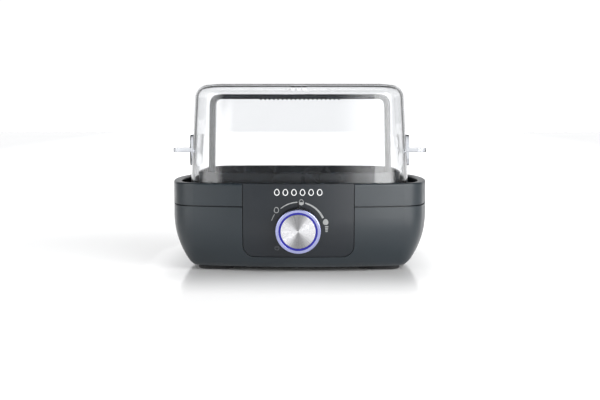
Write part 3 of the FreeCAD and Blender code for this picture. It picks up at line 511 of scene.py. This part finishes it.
@dataclass(frozen=True)
class LitPlastic:
    """Translucent plastic with lamps behind it, a little brighter in cloudy patches."""

    name: str
    color: Color
    glow: Color
    strength: float

    def material(self) -> bpy.types.Material:
        """Build the material.

        Returns:
            The material.
        """
        tree = ShaderTree(self.name)
        tree.mottle(self.color, 0.1, 6 * MM)
        tree.worn(0.35, 0.04, 4 * MM)
        hot = tuple(min(1.0, 1.25 * c) for c in self.glow)
        lamps = tree.spread(tree.noise(8 * MM, 1.0), 0.35, 0.65, 0.0, 1.0)
        tree.link(tree.blend(lamps, self.glow, hot), tree.shader.inputs["Emission Color"])
        tree.fix(Emission_Strength=self.strength)
        tree.bump(tree.noise(0.3 * MM), 0.002 * MM)
        return tree.material


@dataclass(frozen=True)
class PadPrint:
    """Printing ink on plastic, thin in places."""

    name: str
    color: Color

    def material(self) -> bpy.types.Material:
        """Build the material.

        Returns:
            The material.
        """
        tree = ShaderTree(self.name)
        tree.mottle(self.color, 0.06, 1.2 * MM)
        tree.worn(0.5, 0.05, 2 * MM)
        tree.bump(tree.noise(0.12 * MM), 0.003 * MM)
        return tree.material


@dataclass(frozen=True)
class SoftRubber:
    """Rubber or silicone with a dusty, slightly uneven skin."""

    name: str
    color: Color
    roughness: float = 0.7
    sheen: float = 0.15

    def material(self) -> bpy.types.Material:
        """Build the material.

        Returns:
            The material.
        """
        tree = ShaderTree(self.name)
        tree.mottle(self.color, 0.16, 7 * MM)
        tree.worn(self.roughness, 0.08, 5 * MM)
        tree.fix(Sheen_Weight=self.sheen, Specular_IOR_Level=0.35)
        tree.bump(tree.noise(0.5 * MM, 3.0), 0.02 * MM, 0.3 * MM)
        return tree.material


@dataclass(frozen=True)
class BoardLacquer:
    """A lacquered circuit board, with tracks showing as paler lines."""

    name: str
    color: Color
    track: Color

    def material(self) -> bpy.types.Material:
        """Build the material.

        Returns:
            The material.
        """
        tree = ShaderTree(self.name)
        bricks = tree.add("ShaderNodeTexBrick")
        bricks.inputs["Scale"].default_value = 1 / (9 * MM)
        bricks.inputs["Mortar Size"].default_value = 0.05
        bricks.inputs["Color1"].default_value = (*self.color, 1)
        bricks.inputs["Color2"].default_value = (*(0.85 * c for c in self.color), 1)
        bricks.inputs["Mortar"].default_value = (*self.track, 1)
        tree.link(tree.coords, bricks.inputs["Vector"])
        tree.link(bricks.outputs["Color"], tree.shader.inputs["Base Color"])
        tree.worn(0.3, 0.05, 6 * MM)
        tree.bump(bricks.outputs["Fac"], 0.03 * MM)
        return tree.material


@dataclass(frozen=True)
class WovenSleeve:
    """A woven glass sleeve: two sets of threads that cross on the slant."""

    name: str
    color: Color
    thread: float = 0.5 * MM

    def material(self) -> bpy.types.Material:
        """Build the material.

        Returns:
            The material.
        """
        tree = ShaderTree(self.name)
        weave = tree.add("ShaderNodeTexChecker")
        weave.inputs["Scale"].default_value = 1 / self.thread
        weave.inputs["Color1"].default_value = (*self.color, 1)
        weave.inputs["Color2"].default_value = (*(0.7 * c for c in self.color), 1)
        turned = tree.add("ShaderNodeMapping")
        turned.inputs["Rotation"].default_value = (0.6, 0.5, 0.785)
        tree.link(tree.coords, turned.inputs["Vector"])
        tree.link(turned.outputs["Vector"], weave.inputs["Vector"])
        tree.link(weave.outputs["Color"], tree.shader.inputs["Base Color"])
        tree.worn(0.8, 0.05, 2 * MM)
        tree.bump(weave.outputs["Fac"], 0.05 * MM)
        return tree.material


@dataclass(frozen=True)
class StudioFloor:
    """A pale, softly polished table top that glows from below, with the glow painted away around the
    object's footprint as a painted shade.
    """

    name: str
    color: Color
    half: Point2
    roughness: float = 0.13
    reach: float = 96 * MM
    side_haste: float = 2.4
    strength: float = 0.36
    rear_strength: float = 0.38
    rear_from: Point2 = (0.05, 0.7)
    lit_half: Point2 = (0.46, 0.95)
    side_share: float = 0.4
    shine: Point2 = (0.5, 0.03)

    def clearance(self, tree: ShaderTree) -> bpy.types.NodeSocket:
        """How far a point lies outside the object's footprint, counted faster to the sides.

        Args:
            tree: The floor's nodes.

        Returns:
            The distance in metres.
        """
        bare = tree.vector_sum("ABSOLUTE", tree.coords)
        past = tree.vector_sum("SUBTRACT", bare.outputs[0], (*self.half, 1.0))
        outside = tree.vector_sum("MAXIMUM", past.outputs[0])
        hastened = tree.vector_sum("MULTIPLY", outside.outputs[0], (self.side_haste, 1.0, 1.0))
        return tree.vector_sum("LENGTH", hastened.outputs[0]).outputs["Value"]

    def material(self) -> bpy.types.Material:
        """Build the material.

        Returns:
            The material.
        """
        tree = ShaderTree(self.name)
        tree.mottle(self.color, 0.004, 0.4)
        away = self.clearance(tree)
        shine = tree.spread(away, 0.0, self.reach, *self.shine)
        tree.link(shine, tree.shader.inputs["Specular IOR Level"])
        split = tree.add("ShaderNodeSeparateXYZ")
        tree.link(tree.coords, split.inputs[0])
        # painted shade: the glow is nothing at the object's footprint and rises to full strength over
        # reach
        glow_past_painted_shade = tree.spread(away, 0.0, self.reach, 0.0, self.strength, True)
        # the glow also rises behind the object and falls to a share far to either side
        rear = tree.spread(split.outputs["Y"], *self.rear_from, 0.0, self.rear_strength, True)
        sideways = tree.sum_up("ABSOLUTE", split.outputs["X"])
        share = tree.spread(sideways, *self.lit_half, 1.0, self.side_share, True)
        lit = tree.sum_up("MULTIPLY", tree.sum_up("ADD", glow_past_painted_shade, rear), share)
        tree.link(lit, tree.shader.inputs["Emission Strength"])
        tree.fix(Roughness=self.roughness, Emission_Color=(1.0, 1.0, 1.0))
        return tree.material


class Stock:
    """The finishes on the shelf: each is made once and shared."""

    shell = MouldedPlastic("satin_anthracite", (0.0125, 0.0188, 0.0240), 0.36)
    panel = MouldedPlastic("panel_anthracite", (0.0072, 0.0103, 0.0145), 0.36, depth=0.004 * MM)
    rack = MouldedPlastic("rack_anthracite", (0.0095, 0.014, 0.0195), 0.27, depth=0.002 * MM)
    handle = MouldedPlastic("handle_anthracite", (0.0125, 0.0185, 0.025), 0.3, edge=0.2 * MM)
    knob_side = MouldedPlastic("knob_black", (0.006, 0.006, 0.007), 0.35, edge=0.15 * MM)
    inner_black = MouldedPlastic("inner_black", (0.012, 0.012, 0.013), 0.5)
    inner_blue = MouldedPlastic("relay_blue", (0.02, 0.07, 0.3), 0.35)
    inner_white = MouldedPlastic("block_white", (0.72, 0.71, 0.66), 0.45)
    ceramic = MouldedPlastic("unglazed_ceramic", (0.74, 0.70, 0.62), 0.75, grain=0.2 * MM)
    lid = ClearPlastic("clear_lid", (0.972, 0.975, 0.978))
    light_guide = ClearPlastic("light_guide", (0.95, 0.97, 1.0), 0.08, 1.5)
    lamp = ClearPlastic("lamp_resin", (0.95, 0.94, 0.85), 0.2, 1.5)
    pan = BrushedSheet("pan_steel", (0.60, 0.59, 0.575))
    spreader = BrushedSheet("spreader_alloy", (0.55, 0.55, 0.56), 0.45)
    sheath = BrushedSheet("element_sheath", (0.22, 0.20, 0.185), 0.5)
    zinc = PlatedSheet("zinc_plate", (0.52, 0.52, 0.50))
    brass = PlatedSheet("brass_tab", (0.70, 0.50, 0.20), 0.35)
    # the turned cap's base colour holds painted highlight wedges and streaks
    cap = TurnedFace("turned_aluminium_painted_highlight", (0.66, 0.66, 0.68), 0.26, 0.97)
    # the silver ring's blue tint is a painted reflection of the lit ring beside it
    silver_trim_painted_blue = SatinPlate("satin_silver_painted_blue", (0.40, 0.42, 0.68))
    glow = LitPlastic("blue_glow", (0.002, 0.002, 0.04), (0.004, 0.003, 0.60), 0.42)
    print_grey = PadPrint("scale_print", (0.30, 0.31, 0.31))
    print_white = PadPrint("mark_print", (0.80, 0.81, 0.81))
    print_faint = PadPrint("faint_print", (0.12, 0.125, 0.135))
    print_black = PadPrint("black_print", (0.002, 0.002, 0.003))
    rubber = SoftRubber("black_rubber", (0.014, 0.014, 0.015))
    silicone = SoftRubber("silicone_seal", (0.42, 0.43, 0.44), 0.5)
    wire_brown = SoftRubber("wire_brown", (0.12, 0.045, 0.02), 0.5)
    wire_red = SoftRubber("wire_red", (0.40, 0.02, 0.02), 0.5)
    wire_blue = SoftRubber("wire_blue", (0.02, 0.09, 0.40), 0.5)
    wire_green = SoftRubber("wire_green", (0.08, 0.32, 0.05), 0.5)
    board = BoardLacquer("board_green", (0.010, 0.11, 0.045), (0.03, 0.20, 0.08))
    sleeve = WovenSleeve("woven_sleeve", (0.66, 0.62, 0.50))
    floor = StudioFloor("pale_floor_painted_shade", (0.93, 0.93, 0.93), (78 * MM, 48 * MM))

    def __init__(self) -> None:
        """Start with an empty shelf."""
        self._made: dict[str, bpy.types.Material] = {}

    def take(self, finish: Finish) -> bpy.types.Material:
        """The finish's material, built on first use.

        Args:
            finish: The finish.

        Returns:
            Its material.
        """
        if finish.name not in self._made:
            self._made[finish.name] = finish.material()
        return self._made[finish.name]

    def dress(self, finish: Finish, *nodes: str) -> None:
        """Give CAD nodes a finish.

        Args:
            finish: The finish.
            *nodes: The nodes' names.
        """
        for node in nodes:
            piece = frame["nodes"][node]
            for held in piece.material_slots:
                held.material = self.take(finish)
            log.info("dressed %s in %s", node, finish.name)


# ---------------------------------------------------------------- mesh work
def shaped(name: str, mesh: bmesh.types.BMesh, finish: Finish, stock: Stock) -> bpy.types.Object:
    """Turn a mesh into a named object with a finish.

    Args:
        name: The piece's name.
        mesh: The mesh, which is used up.
        finish: Its finish.
        stock: Where the finish comes from.

    Returns:
        The object, linked to the scene.
    """
    bmesh.ops.recalc_face_normals(mesh, faces=mesh.faces)
    data = bpy.data.meshes.new(name)
    mesh.to_mesh(data)
    mesh.free()
    data.materials.append(stock.take(finish))
    piece = bpy.data.objects.new(name, data)
    bpy.context.scene.collection.objects.link(piece)
    log.info("made %s", name)
    return piece


def lathe(profile: Sequence[Point2], steps: int = 160) -> bmesh.types.BMesh:
    """Spin a profile about Z.

    Args:
        profile: Points of (radius, height) that start and end on the axis.
        steps: How many steps go round.

    Returns:
        The closed mesh.
    """
    mesh = bmesh.new()
    rings: list[list[bmesh.types.BMVert]] = []
    for radius, height in profile:
        if radius < 1e-9:
            rings.append([mesh.verts.new((0, 0, height))])
            continue
        turns = (2 * math.pi * i / steps for i in range(steps))
        places = ((radius * math.cos(t), radius * math.sin(t), height) for t in turns)
        rings.append([mesh.verts.new(place) for place in places])
    for low, high in zip(rings, rings[1:]):
        for i in range(steps):
            j = (i + 1) % steps
            below = [low[i % len(low)], low[j % len(low)]]
            above = [high[j % len(high)], high[i % len(high)]]
            mesh.faces.new(list(dict.fromkeys(below + above)))
    for face in mesh.faces:
        face.smooth = True
    return mesh


@dataclass
class KnobAxes:
    """The knob's own frame: its origin on the panel, out along its axis, up the panel."""

    joint: str = "timer_knob"
    origin: Vector = field(init=False)
    out: Vector = field(init=False)
    right: Vector = field(init=False)
    up: Vector = field(init=False)

    def __post_init__(self) -> None:
        """Read the frame from the knob's joint."""
        found = next(j for j in frame["joints"] if j["name"] == self.joint)
        self.origin = Vector(found["pos_m"])
        self.out = Vector(found["axis"]).normalized()
        self.right = Vector((1, 0, 0))
        self.up = self.out.cross(self.right)

    def matrix(self) -> Matrix:
        """The frame as a matrix."""
        turn = Matrix((self.right, self.up, self.out)).transposed().to_4x4()
        return Matrix.Translation(self.origin) @ turn

    def at(self, u: float, v: float, w: float) -> Vector:
        """A point right by u, up by v and out by w."""
        return self.origin + self.right * u + self.up * v + self.out * w

    def span(self, node: str) -> tuple[float, float, float]:
        """How a round CAD node lies in this frame.

        Args:
            node: The node's name.

        Returns:
            Its outer radius, its back and its front.
        """
        inverse = self.matrix().inverted()
        points = [inverse @ v.co for v in frame["nodes"][node].data.vertices]
        heights = [p.z for p in points]
        return max(math.hypot(p.x, p.y) for p in points), min(heights), max(heights)


class PanelPrinter:
    """Lays flat print on the curved panel."""

    lift: float = 0.05 * MM

    def __init__(self, axes: KnobAxes, stock: Stock, node: str = "control_panel") -> None:
        """Read the panel's surface.

        Args:
            axes: The knob's frame.
            stock: Where the inks come from.
            node: The panel's CAD node.
        """
        self.axes = axes
        self.stock = stock
        data = frame["nodes"][node].data
        self.surface = BVHTree.FromPolygons(
            [v.co for v in data.vertices], [p.vertices for p in data.polygons]
        )

    def on_panel(self, u: float, v: float, above: float) -> Vector:
        """A point over the panel's face.

        Args:
            u: How far right of the knob's axis.
            v: How far up from it.
            above: How high over the surface.

        Returns:
            The point.
        """
        start = self.axes.at(u, v, 30 * MM)
        place, normal, _, _ = self.surface.ray_cast(start, -self.axes.out)
        return place + normal * above

    def print_strips(self, name: str, strips: Iterable[Strip], ink: Finish) -> None:
        """Print strips of ink as one piece.

        Args:
            name: The piece's name.
            strips: Each strip as pairs of points across it.
            ink: The ink.
        """
        mesh = bmesh.new()
        for strip in strips:
            tops, feet = (
                [tuple(mesh.verts.new(self.on_panel(*p, side)) for p in pair) for pair in strip]
                for side in (self.lift, -self.lift)
            )
            for i in range(len(strip) - 1):
                (a, b), (c, d) = tops[i], tops[i + 1]
                (e, f), (g, h) = feet[i], feet[i + 1]
                for loop in ((a, b, d, c), (e, g, h, f), (a, c, g, e), (b, f, h, d)):
                    mesh.faces.new(loop)
            for (a, b), (e, f) in ((tops[0], feet[0]), (tops[-1], feet[-1])):
                mesh.faces.new((a, e, f, b))
        bmesh.ops.remove_doubles(mesh, verts=mesh.verts, dist=0.002 * MM)
        piece = shaped(name, mesh, ink, self.stock)
        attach(piece, "base")


def arc_strip(radius: float, start: float, stop: float, wide: float, wider: float) -> Strip:
    """A strip along an arc about the knob, growing from one width to another.

    Args:
        radius: The arc's radius.
        start: Where it starts, in degrees from the right.
        stop: Where it ends.
        wide: Its width at the start.
        wider: Its width at the end.

    Returns:
        Pairs of points across the strip.
    """
    count = max(6, int(abs(stop - start)))
    pairs = []
    for i in range(count + 1):
        t = i / count
        turn = math.radians(start + (stop - start) * t)
        half = (wide + (wider - wide) * t) / 2
        along = (math.cos(turn), math.sin(turn))
        pairs.append(tuple((r * along[0], r * along[1]) for r in (radius - half, radius + half)))
    return pairs


class EggFill(Enum):
    """How far an egg mark is filled in."""

    OUTLINE = 0.0
    HALF = 0.5
    FULL = 1.0


@dataclass(frozen=True)
class EggMark:
    """A small egg drawn on the panel."""

    u: float
    v: float
    half_width: float = 1.75 * MM
    half_height: float = 2.15 * MM
    line: float = 0.42 * MM
    fill: EggFill = EggFill.OUTLINE

    def edge(self, turn: float, shrink: float) -> Point2:
        """A point on the egg's outline.

        Args:
            turn: The angle in radians.
            shrink: How far inside the outline.

        Returns:
            The point in the panel's own directions.
        """
        taper = 1 - 0.14 * math.sin(turn)
        x = (self.half_width - shrink) * math.cos(turn) * taper
        y = (self.half_height - shrink) * math.sin(turn)
        return self.u + x, self.v + y

    def strips(self) -> list[Strip]:
        """The outline, and the part that is filled.

        Returns:
            Their strips.
        """
        turns = [2 * math.pi * i / 40 for i in range(41)]
        made = [[(self.edge(t, self.line), self.edge(t, 0)) for t in turns]]
        if self.fill is not EggFill.OUTLINE:
            top = 0.5 * math.pi if self.fill is EggFill.FULL else 0.0
            rows = [-0.5 * math.pi + (top + 0.5 * math.pi) * i / 12 for i in range(13)]
            made.append([(self.edge(math.pi - t, self.line), self.edge(t, self.line)) for t in rows])
        return made


@dataclass
class ControlPanel:
    """The front plate with its printed scale."""

    scale_radius: float = 19.4 * MM
    mark_radius: float = 20.2 * MM
    row_height: float = 26.4 * MM
    row_pitch: float = 6.1 * MM
    row_count: int = 6
    row_egg: Point3 = (1.9 * MM, 2.35 * MM, 0.48 * MM)
    cup_levels: int = 4
    cup_pitch: float = 1.15 * MM
    cup_line: float = 0.75 * MM
    power_radius: float = 1.5 * MM
    power_line: float = 0.35 * MM
    tick_half: float = 0.65 * MM

    def on_scale(self, angle: float, radius: float | None = None) -> Point2:
        """A place on the scale's circle.

        Args:
            angle: Degrees from the right.
            radius: The circle's radius, if it isn't the marks' own.

        Returns:
            The place.
        """
        turn, reach = math.radians(angle), radius or self.mark_radius
        return reach * math.cos(turn), reach * math.sin(turn)

    def cup(self, angle: float) -> list[Strip]:
        """A small measuring cup with level lines.

        Args:
            angle: Where it stands on the scale.

        Returns:
            Its strips.
        """
        u, v = self.on_scale(angle)
        strips = []
        for level in range(self.cup_levels):
            half = (0.85 + 0.12 * level) * MM
            low = v - 2.1 * MM + level * self.cup_pitch
            strips.append([((x, low), (x, low + self.cup_line)) for x in (u - half, u + half)])
        return strips

    def power(self, angle: float) -> list[Strip]:
        """The usual power mark: a broken ring and a stroke.

        Args:
            angle: Where it stands on the scale.

        Returns:
            Its strips.
        """
        u, v = self.on_scale(angle, 1.04 * self.mark_radius)
        ring = arc_strip(self.power_radius, 125, 415, self.power_line, self.power_line)
        moved = [tuple((u + x, v + y) for x, y in pair) for pair in ring]
        half = 0.18 * MM
        bar = [((u - half, y), (u + half, y)) for y in (v, v + 1.9 * MM)]
        return [moved, bar]

    def build(self, axes: KnobAxes, stock: Stock) -> None:
        """Print the scale, the marks and the row of eggs.

        Args:
            axes: The knob's frame.
            stock: The finishes.
        """
        printer = PanelPrinter(axes, stock)
        arcs = [
            arc_strip(self.scale_radius + 0.6 * MM, 162, 148, 0.35 * MM, 0.45 * MM),
            arc_strip(self.scale_radius, 130.5, 92, 0.5 * MM, 0.8 * MM),
            arc_strip(self.scale_radius, 75, 24.5, 0.9 * MM, 1.4 * MM),
        ]
        printer.print_strips("print_time_arcs", arcs, Stock.print_grey)
        marks = [
            EggMark(*self.on_scale(138.5, 20.8 * MM)),
            EggMark(*self.on_scale(83.5, 19.5 * MM), fill=EggFill.HALF),
            EggMark(*self.on_scale(15), fill=EggFill.FULL, half_width=1.95 * MM),
        ]
        for mark, word in zip(marks, ("soft", "medium", "hard")):
            printer.print_strips(f"print_{word}_egg", mark.strips(), Stock.print_grey)
        printer.print_strips("print_cup", self.cup(0.5), Stock.print_grey)
        printer.print_strips("print_power", self.power(223), Stock.print_faint)
        tick = [[((x, 16.7 * MM), (x, 19.0 * MM)) for x in (-self.tick_half, self.tick_half)]]
        printer.print_strips("print_start_tick", tick, Stock.print_black)
        row = []
        for step in range(self.row_count):
            along = (step - (self.row_count - 1) / 2) * self.row_pitch
            egg = EggMark(along, self.row_height, *self.row_egg)
            row += egg.strips()
        printer.print_strips("print_egg_row", row, Stock.print_white)

    def dress(self, stock: Stock) -> None:
        """Finish the plate."""
        stock.dress(Stock.panel, "control_panel")


@dataclass
class TimerKnob:
    """The knob: fluted side, plated ring, lit ring and turned cap."""

    dish: float = 0.06 * MM
    lip: float = 0.25 * MM

    def build(self, axes: KnobAxes, stock: Stock) -> None:
        """Turn the cap about its own axis, so that its rings spread the light and its painted highlight
        wedges sit round its middle.

        Args:
            axes: The knob's frame.
            stock: The finishes.
        """
        radius, back, front = axes.span("knob_cap")
        profile = [(0.0, back), (radius, back), (radius, front - self.lip)]
        for i in range(1, 5):
            turn = math.pi / 2 * i / 4
            profile.append(
                (radius - self.lip * (1 - math.cos(turn)), front - self.lip * (1 - math.sin(turn)))
            )
        flat = radius - self.lip
        for i in range(1, 24):
            r = flat * (1 - i / 24)
            profile.append((r, front - self.dish * (1 - (r / flat) ** 2)))
        profile.append((0.0, front - self.dish))
        cap = shaped("knob_cap_turned_painted_highlight", lathe(profile), Stock.cap, stock)
        cap.matrix_world = axes.matrix()
        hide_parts("knob_cap")
        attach(cap, "knob")

    def dress(self, stock: Stock) -> None:
        """Finish the knob's CAD pieces.

        Args:
            stock: The finishes.
        """
        stock.dress(Stock.knob_side, "knob_sleeve")
        # the plated ring's blue tint is a painted reflection of the lit ring
        stock.dress(Stock.silver_trim_painted_blue, "knob_trim_ring")
        stock.dress(Stock.glow, "knob_glow_ring")
        stock.dress(Stock.inner_black, "knob_hub")
        stock.dress(Stock.zinc, "knob_shaft", "knob_clip")


@dataclass
class BaseShell:
    """The bowl, its collar, its cover, its feet and what holds them."""

    feet: tuple[str, ...] = ("foot_front_left", "foot_front_right", "foot_rear_left", "foot_rear_right")

    def dress(self, stock: Stock) -> None:
        """Finish the shell's CAD pieces.

        Args:
            stock: The finishes.
        """
        stock.dress(Stock.shell, "housing", "collar")
        stock.dress(Stock.inner_black, "base_cover")
        stock.dress(Stock.rubber, "cord_gland", *self.feet)
        stock.dress(Stock.zinc, "cover_screws", "collar_screws")


@dataclass
class EggCarrier:
    """The rack with its bail handle."""

    def dress(self, stock: Stock) -> None:
        """Finish the rack and its handle."""
        stock.dress(Stock.rack, "egg_rack")
        stock.dress(Stock.handle, "rack_handle")


@dataclass
class Lid:
    """The clear lid."""

    def dress(self, stock: Stock) -> None:
        """Finish the lid."""
        stock.dress(Stock.lid, "lid")


@dataclass
class Heater:
    """The water pan, the element below it and its controls."""

    def dress(self, stock: Stock) -> None:
        """Finish the heater's pieces.

        Args:
            stock: The finishes.
        """
        stock.dress(Stock.pan, "heating_pan")
        stock.dress(Stock.silicone, "pan_gasket")
        stock.dress(Stock.spreader, "heat_spreader")
        stock.dress(Stock.sheath, "heating_element")
        stock.dress(Stock.ceramic, "element_terminals")
        stock.dress(Stock.inner_black, "thermostat")
        stock.dress(
            Stock.zinc, "thermostat_bracket", "bracket_screws", "temperature_sensor",
            "pan_strap_left", "pan_strap_right", "strap_screws",
        )
        stock.dress(Stock.sleeve, "thermal_fuse")
        stock.dress(Stock.brass, "earth_tab")


@dataclass
class Electronics:
    """The timer's board and the wiring."""

    def dress(self, stock: Stock) -> None:
        """Finish the board, what stands on it and the leads.

        Args:
            stock: The finishes.
        """
        stock.dress(Stock.board, "control_board")
        stock.dress(Stock.zinc, "board_screws")
        stock.dress(Stock.inner_black, "potentiometer", "capacitor", "buzzer")
        stock.dress(Stock.lamp, "board_leds")
        stock.dress(Stock.light_guide, "light_pipe")
        stock.dress(Stock.inner_blue, "relay")
        stock.dress(Stock.inner_white, "board_connector", "terminal_block")
        stock.dress(Stock.wire_brown, "lead_live")
        stock.dress(Stock.wire_red, "lead_switched", "lead_board")
        stock.dress(Stock.wire_blue, "lead_neutral")
        stock.dress(Stock.wire_green, "lead_earth")


# ---------------------------------------------------------------- studio
@dataclass(frozen=True)
class SoftBox:
    """A large soft light that stands on the floor and faces the object."""

    name: str
    azimuth: float
    distance: float
    width: float
    height: float
    base: float
    radiance: float
    soft_edge: float = 0.3

    def build(self) -> None:
        """Set up the light."""
        light = bpy.data.lights.new(self.name, "AREA")
        light.shape = "RECTANGLE"
        light.size, light.size_y = self.width, self.height
        light.energy = self.radiance * math.pi * self.width * self.height
        self.feather(light)
        lamp = bpy.data.objects.new(self.name, light)
        turn = math.radians(self.azimuth)
        lamp.location = (
            self.distance * math.sin(turn),
            -self.distance * math.cos(turn),
            self.base + self.height / 2,
        )
        lamp.rotation_euler = Euler((math.pi / 2, 0, turn))
        bpy.context.scene.collection.objects.link(lamp)

    def feather(self, light: bpy.types.AreaLight) -> None:
        """Let the light fall off towards its two upright edges.

        Args:
            light: The light.
        """
        light.use_nodes = True
        tree = light.node_tree
        emission = tree.nodes["Emission"]
        split = tree.nodes.new("ShaderNodeSeparateXYZ")
        tree.links.new(tree.nodes.new("ShaderNodeTexCoord").outputs["UV"], split.inputs[0])
        factors = []
        for start, stop in ((0.0, self.soft_edge), (1.0, 1.0 - self.soft_edge)):
            ramp = tree.nodes.new("ShaderNodeMapRange")
            ramp.interpolation_type = "SMOOTHSTEP"
            ramp.inputs[1].default_value = start
            ramp.inputs[2].default_value = stop
            tree.links.new(split.outputs["X"], ramp.inputs[0])
            factors.append(ramp.outputs[0])
        product = tree.nodes.new("ShaderNodeMath")
        product.operation = "MULTIPLY"
        for factor, socket in zip(factors, product.inputs):
            tree.links.new(factor, socket)
        tree.links.new(product.outputs[0], emission.inputs["Strength"])


@dataclass
class Studio:
    """A plain pale floor, soft light and the camera."""

    floor_half: float = 4.0
    lens: float = 64.9
    camera_place: Point3 = (0.015, -0.8275, 0.1212)
    yaw: float = 1.028
    pitch: float = 5.03
    overhead: Ramp = (0.30, 0.70, 1.08, 0.26)
    rear: Ramp = (0.82, 0.95, 0.24, 1.0)
    boxes: tuple[SoftBox, ...] = (
        SoftBox("soft_box_left", -56, 1.0, 1.4, 0.9, 0.02, 2.6),
        SoftBox("soft_box_right", 46, 1.0, 1.6, 0.9, 0.02, 6.3),
    )

    def place_floor(self, stock: Stock) -> None:
        """Lay the floor at the lowest point of the object.

        Args:
            stock: The finishes.
        """
        mesh = bmesh.new()
        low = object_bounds()[0].z
        corners = [(-1, -1), (1, -1), (1, 1), (-1, 1)]
        half = self.floor_half
        mesh.faces.new([mesh.verts.new((x * half, y * half, low)) for x, y in corners])
        floor = shaped("studio_floor", mesh, Stock.floor, stock)
        floor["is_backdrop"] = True

    def place_camera(self) -> None:
        """Set the camera."""
        camera = bpy.data.objects.new("camera", bpy.data.cameras.new("camera"))
        camera.data.lens = self.lens
        camera.data.sensor_width = 36
        camera.data.clip_start = 0.01
        camera.location = self.camera_place
        camera.rotation_euler = Euler((math.radians(90 - self.pitch), 0, math.radians(self.yaw)))
        bpy.context.scene.collection.objects.link(camera)
        bpy.context.scene.camera = camera

    def surround(self) -> None:
        """Paint the room: bright behind the object, darker at the sides and overhead."""
        world = bpy.data.worlds.new("pale_surround")
        world.use_nodes = True
        tree = world.node_tree
        split = tree.nodes.new("ShaderNodeSeparateXYZ")
        tree.links.new(tree.nodes.new("ShaderNodeTexCoord").outputs["Generated"], split.inputs[0])
        shades = []
        for axis, (start, stop, first, last) in (("Z", self.overhead), ("Y", self.rear)):
            ramp = tree.nodes.new("ShaderNodeMapRange")
            ramp.interpolation_type = "SMOOTHSTEP"
            for index, number in enumerate((start, stop, first, last), start=1):
                ramp.inputs[index].default_value = number
            tree.links.new(split.outputs[axis], ramp.inputs[0])
            shades.append(ramp.outputs[0])
        product = tree.nodes.new("ShaderNodeMath")
        product.operation = "MULTIPLY"
        for shade, socket in zip(shades, product.inputs):
            tree.links.new(shade, socket)
        background = tree.nodes["Background"]
        background.inputs["Color"].default_value = (0.985, 0.99, 1.0, 1.0)
        tree.links.new(product.outputs[0], background.inputs["Strength"])
        bpy.context.scene.world = world

    def light(self) -> None:
        """Light the scene, with a soft box on each side."""
        self.surround()
        bpy.context.scene.view_settings.view_transform = "Standard"
        for box in self.boxes:
            box.build()

    def build(self, stock: Stock) -> None:
        """Set up the whole studio.

        Args:
            stock: The finishes.
        """
        self.place_floor(stock)
        self.place_camera()
        self.light()


def main() -> None:
    """Build every sub-assembly in order."""
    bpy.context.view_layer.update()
    stock, axes = Stock(), KnobAxes()
    Studio().build(stock)
    BaseShell().dress(stock)
    panel, knob = ControlPanel(), TimerKnob()
    panel.build(axes, stock)
    panel.dress(stock)
    knob.build(axes, stock)
    knob.dress(stock)
    for assembly in (EggCarrier(), Lid(), Heater(), Electronics()):
        assembly.dress(stock)


if __name__ == "__main__":
    main()
